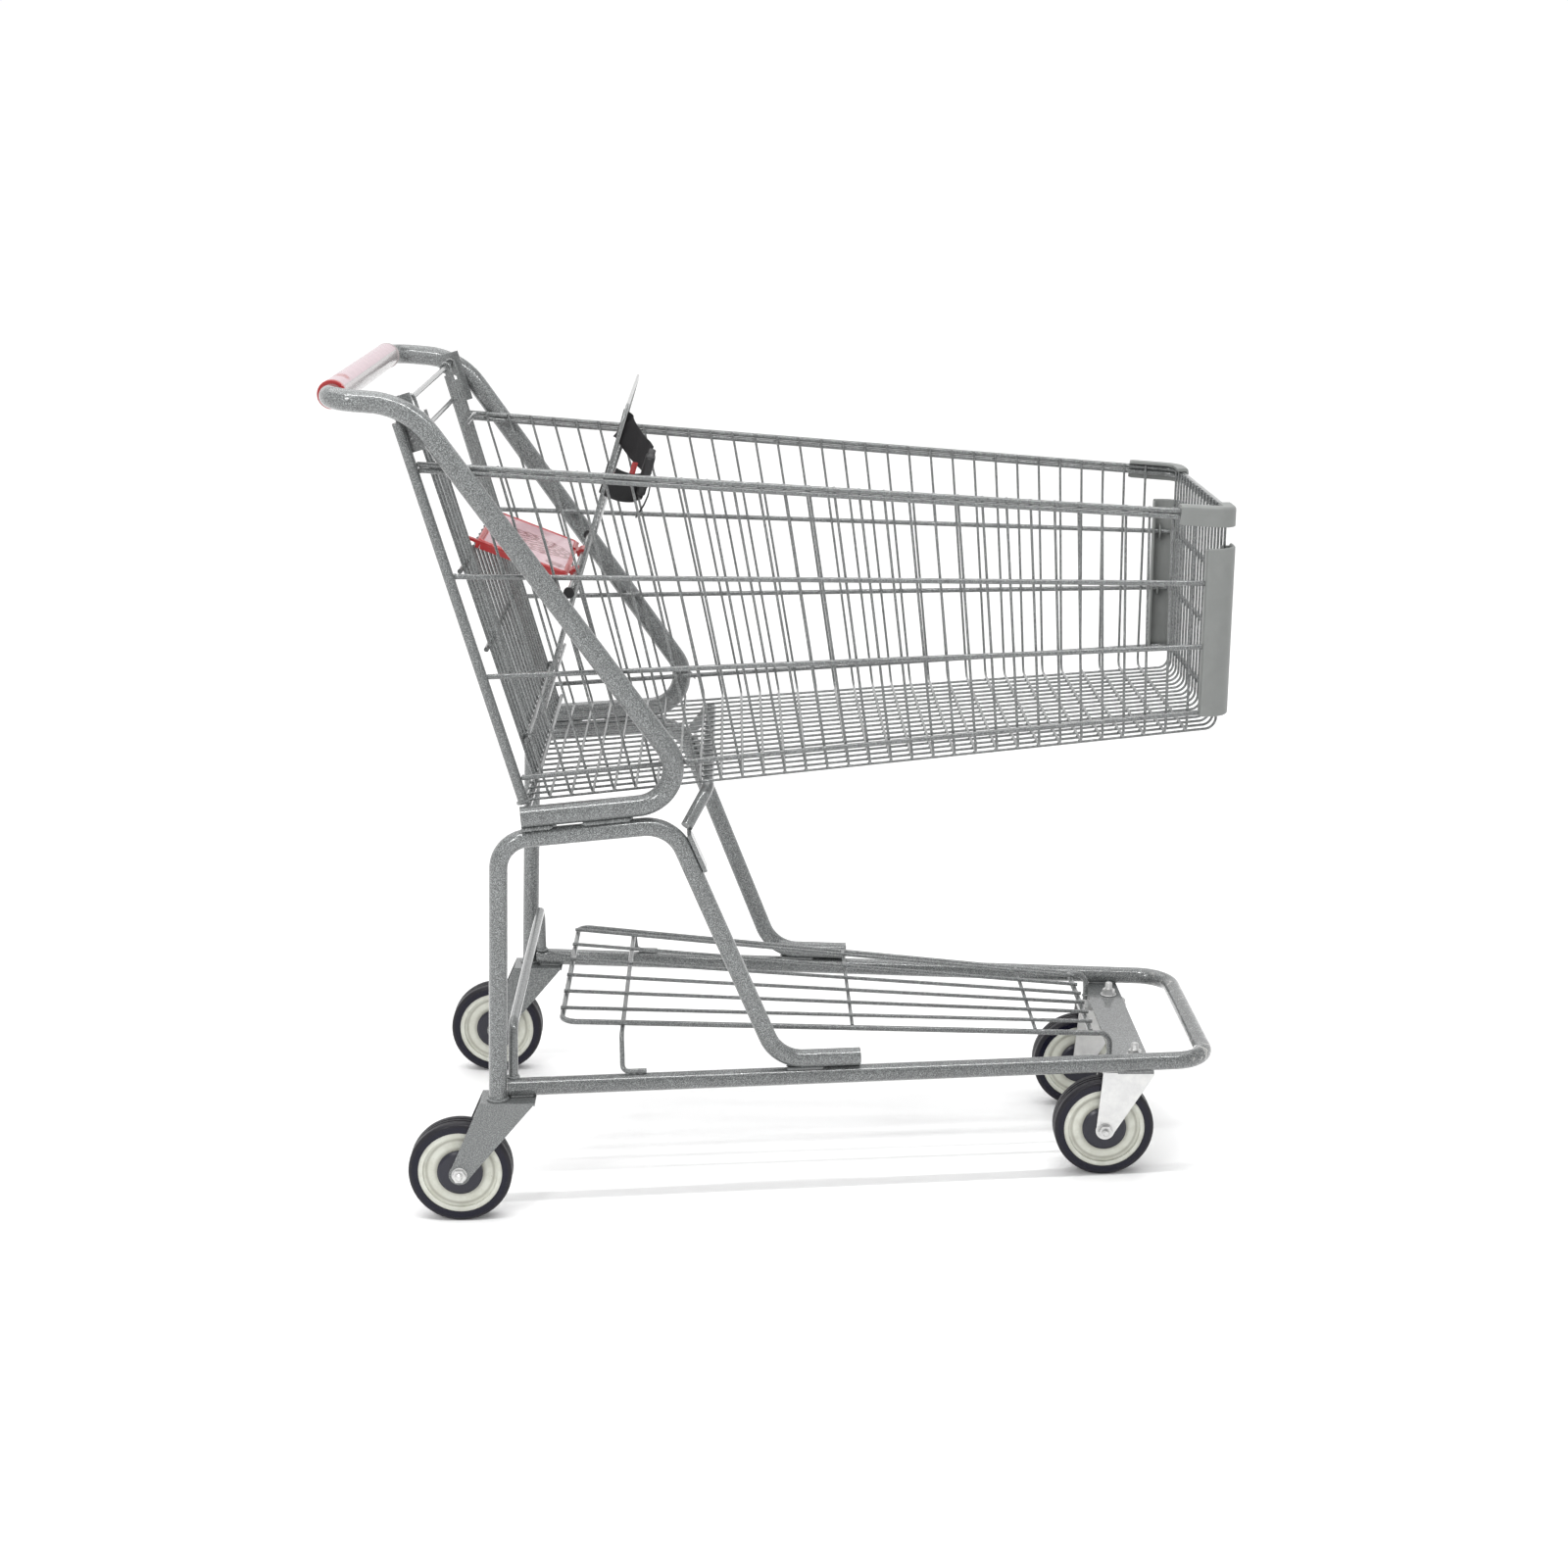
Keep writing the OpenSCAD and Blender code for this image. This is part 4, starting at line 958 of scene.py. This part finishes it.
random.seed(7)
frame_beads()
spot_welds()
bolt_details()
caster_races()
guards()
rim_caps()
seat_rim()
belt()
buckle()
grip_collars()


# ---------- camera, light and floor ----------

CAMERA_AT = Vector((-0.0685, -3.1237, 1.3200))
CAMERA_YAW = 0.01244
CAMERA_PITCH = 0.25876
CAMERA_ROLL = 0.00304
CAMERA_LENS, SENSOR_WIDTH = 57.818, 36.0
CAMERA_SHIFT = (0.0136, -0.0040)
WALL_GLOW, CEILING_GLOW = 1.02, 0.30
FLOOR_HALF = 120.0


def make_camera():
    data = bpy.data.cameras.new("camera")
    data.sensor_width = SENSOR_WIDTH
    data.lens = CAMERA_LENS
    data.shift_x, data.shift_y = CAMERA_SHIFT
    camera = place_in_scene("camera", data)
    turn = (Matrix.Rotation(-CAMERA_YAW, 4, "Z")
            @ Matrix.Rotation(math.pi / 2 - CAMERA_PITCH, 4, "X")
            @ Matrix.Rotation(CAMERA_ROLL, 4, "Z"))
    camera.matrix_world = Matrix.Translation(CAMERA_AT) @ turn
    bpy.context.scene.camera = camera


def make_softbox(name, place, target, size, power):
    data = bpy.data.lights.new(name, "AREA")
    data.shape = "RECTANGLE"
    data.size, data.size_y = size
    data.energy = power
    light = place_in_scene(name, data)
    light.location = place
    aim = Vector(target) - Vector(place)
    light.rotation_euler = aim.to_track_quat("-Z", "Y").to_euler()


def make_ceiling():
    """A broad soft sun that stands for a lit ceiling."""
    data = bpy.data.lights.new("ceiling", "SUN")
    data.energy = 2.1
    data.angle = math.radians(75)
    sun = place_in_scene("ceiling", data)
    sun.rotation_euler = (math.radians(-14), math.radians(-8), 0)


def make_sky():
    """A white studio: bright walls all round, a dimmer ceiling."""
    world = bpy.data.worlds.new("studio")
    world.use_nodes = True
    tree = world.node_tree
    coordinates = tree.nodes.new("ShaderNodeTexCoord")
    split = tree.nodes.new("ShaderNodeSeparateXYZ")
    level = tree.nodes.new("ShaderNodeMapRange")
    level.interpolation_type = "SMOOTHSTEP"
    for socket, value in (("From Min", 0.25), ("From Max", 0.85),
                          ("To Min", WALL_GLOW), ("To Max", CEILING_GLOW)):
        level.inputs[socket].default_value = value
    tree.links.new(coordinates.outputs["Generated"], split.inputs["Vector"])
    tree.links.new(split.outputs["Z"], level.inputs["Value"])
    background = tree.nodes["Background"]
    background.inputs["Color"].default_value = (1.0, 1.0, 1.0, 1.0)
    tree.links.new(level.outputs["Result"], background.inputs["Strength"])
    bpy.context.scene.world = world


def make_floor():
    mesh = bpy.data.meshes.new("floor")
    corners = [(x * FLOOR_HALF, y * FLOOR_HALF, 0)
               for x, y in ((-1, -1), (1, -1), (1, 1), (-1, 1))]
    mesh.from_pydata(corners, [], [(0, 1, 2, 3)])
    s = Surface("floor_white", Roughness=0.8)
    s.set("Base Color", s.mix(s.noise(3.0), grey(0.93), grey(0.95)))
    mesh.materials.append(s.material)
    floor = place_in_scene("floor", mesh)


make_camera()
make_sky()
bpy.context.scene.view_settings.view_transform = "Standard"
make_floor()
make_softbox("top_strip", (0.1, -0.9, 2.5), (0.0, 0.0, 0.5), (2.8, 0.06), 34.0)
make_softbox("near_softbox", (-1.8, -3.0, 2.4), (0.0, 0.0, 0.6), (0.5, 0.9), 26.0)
make_ceiling()
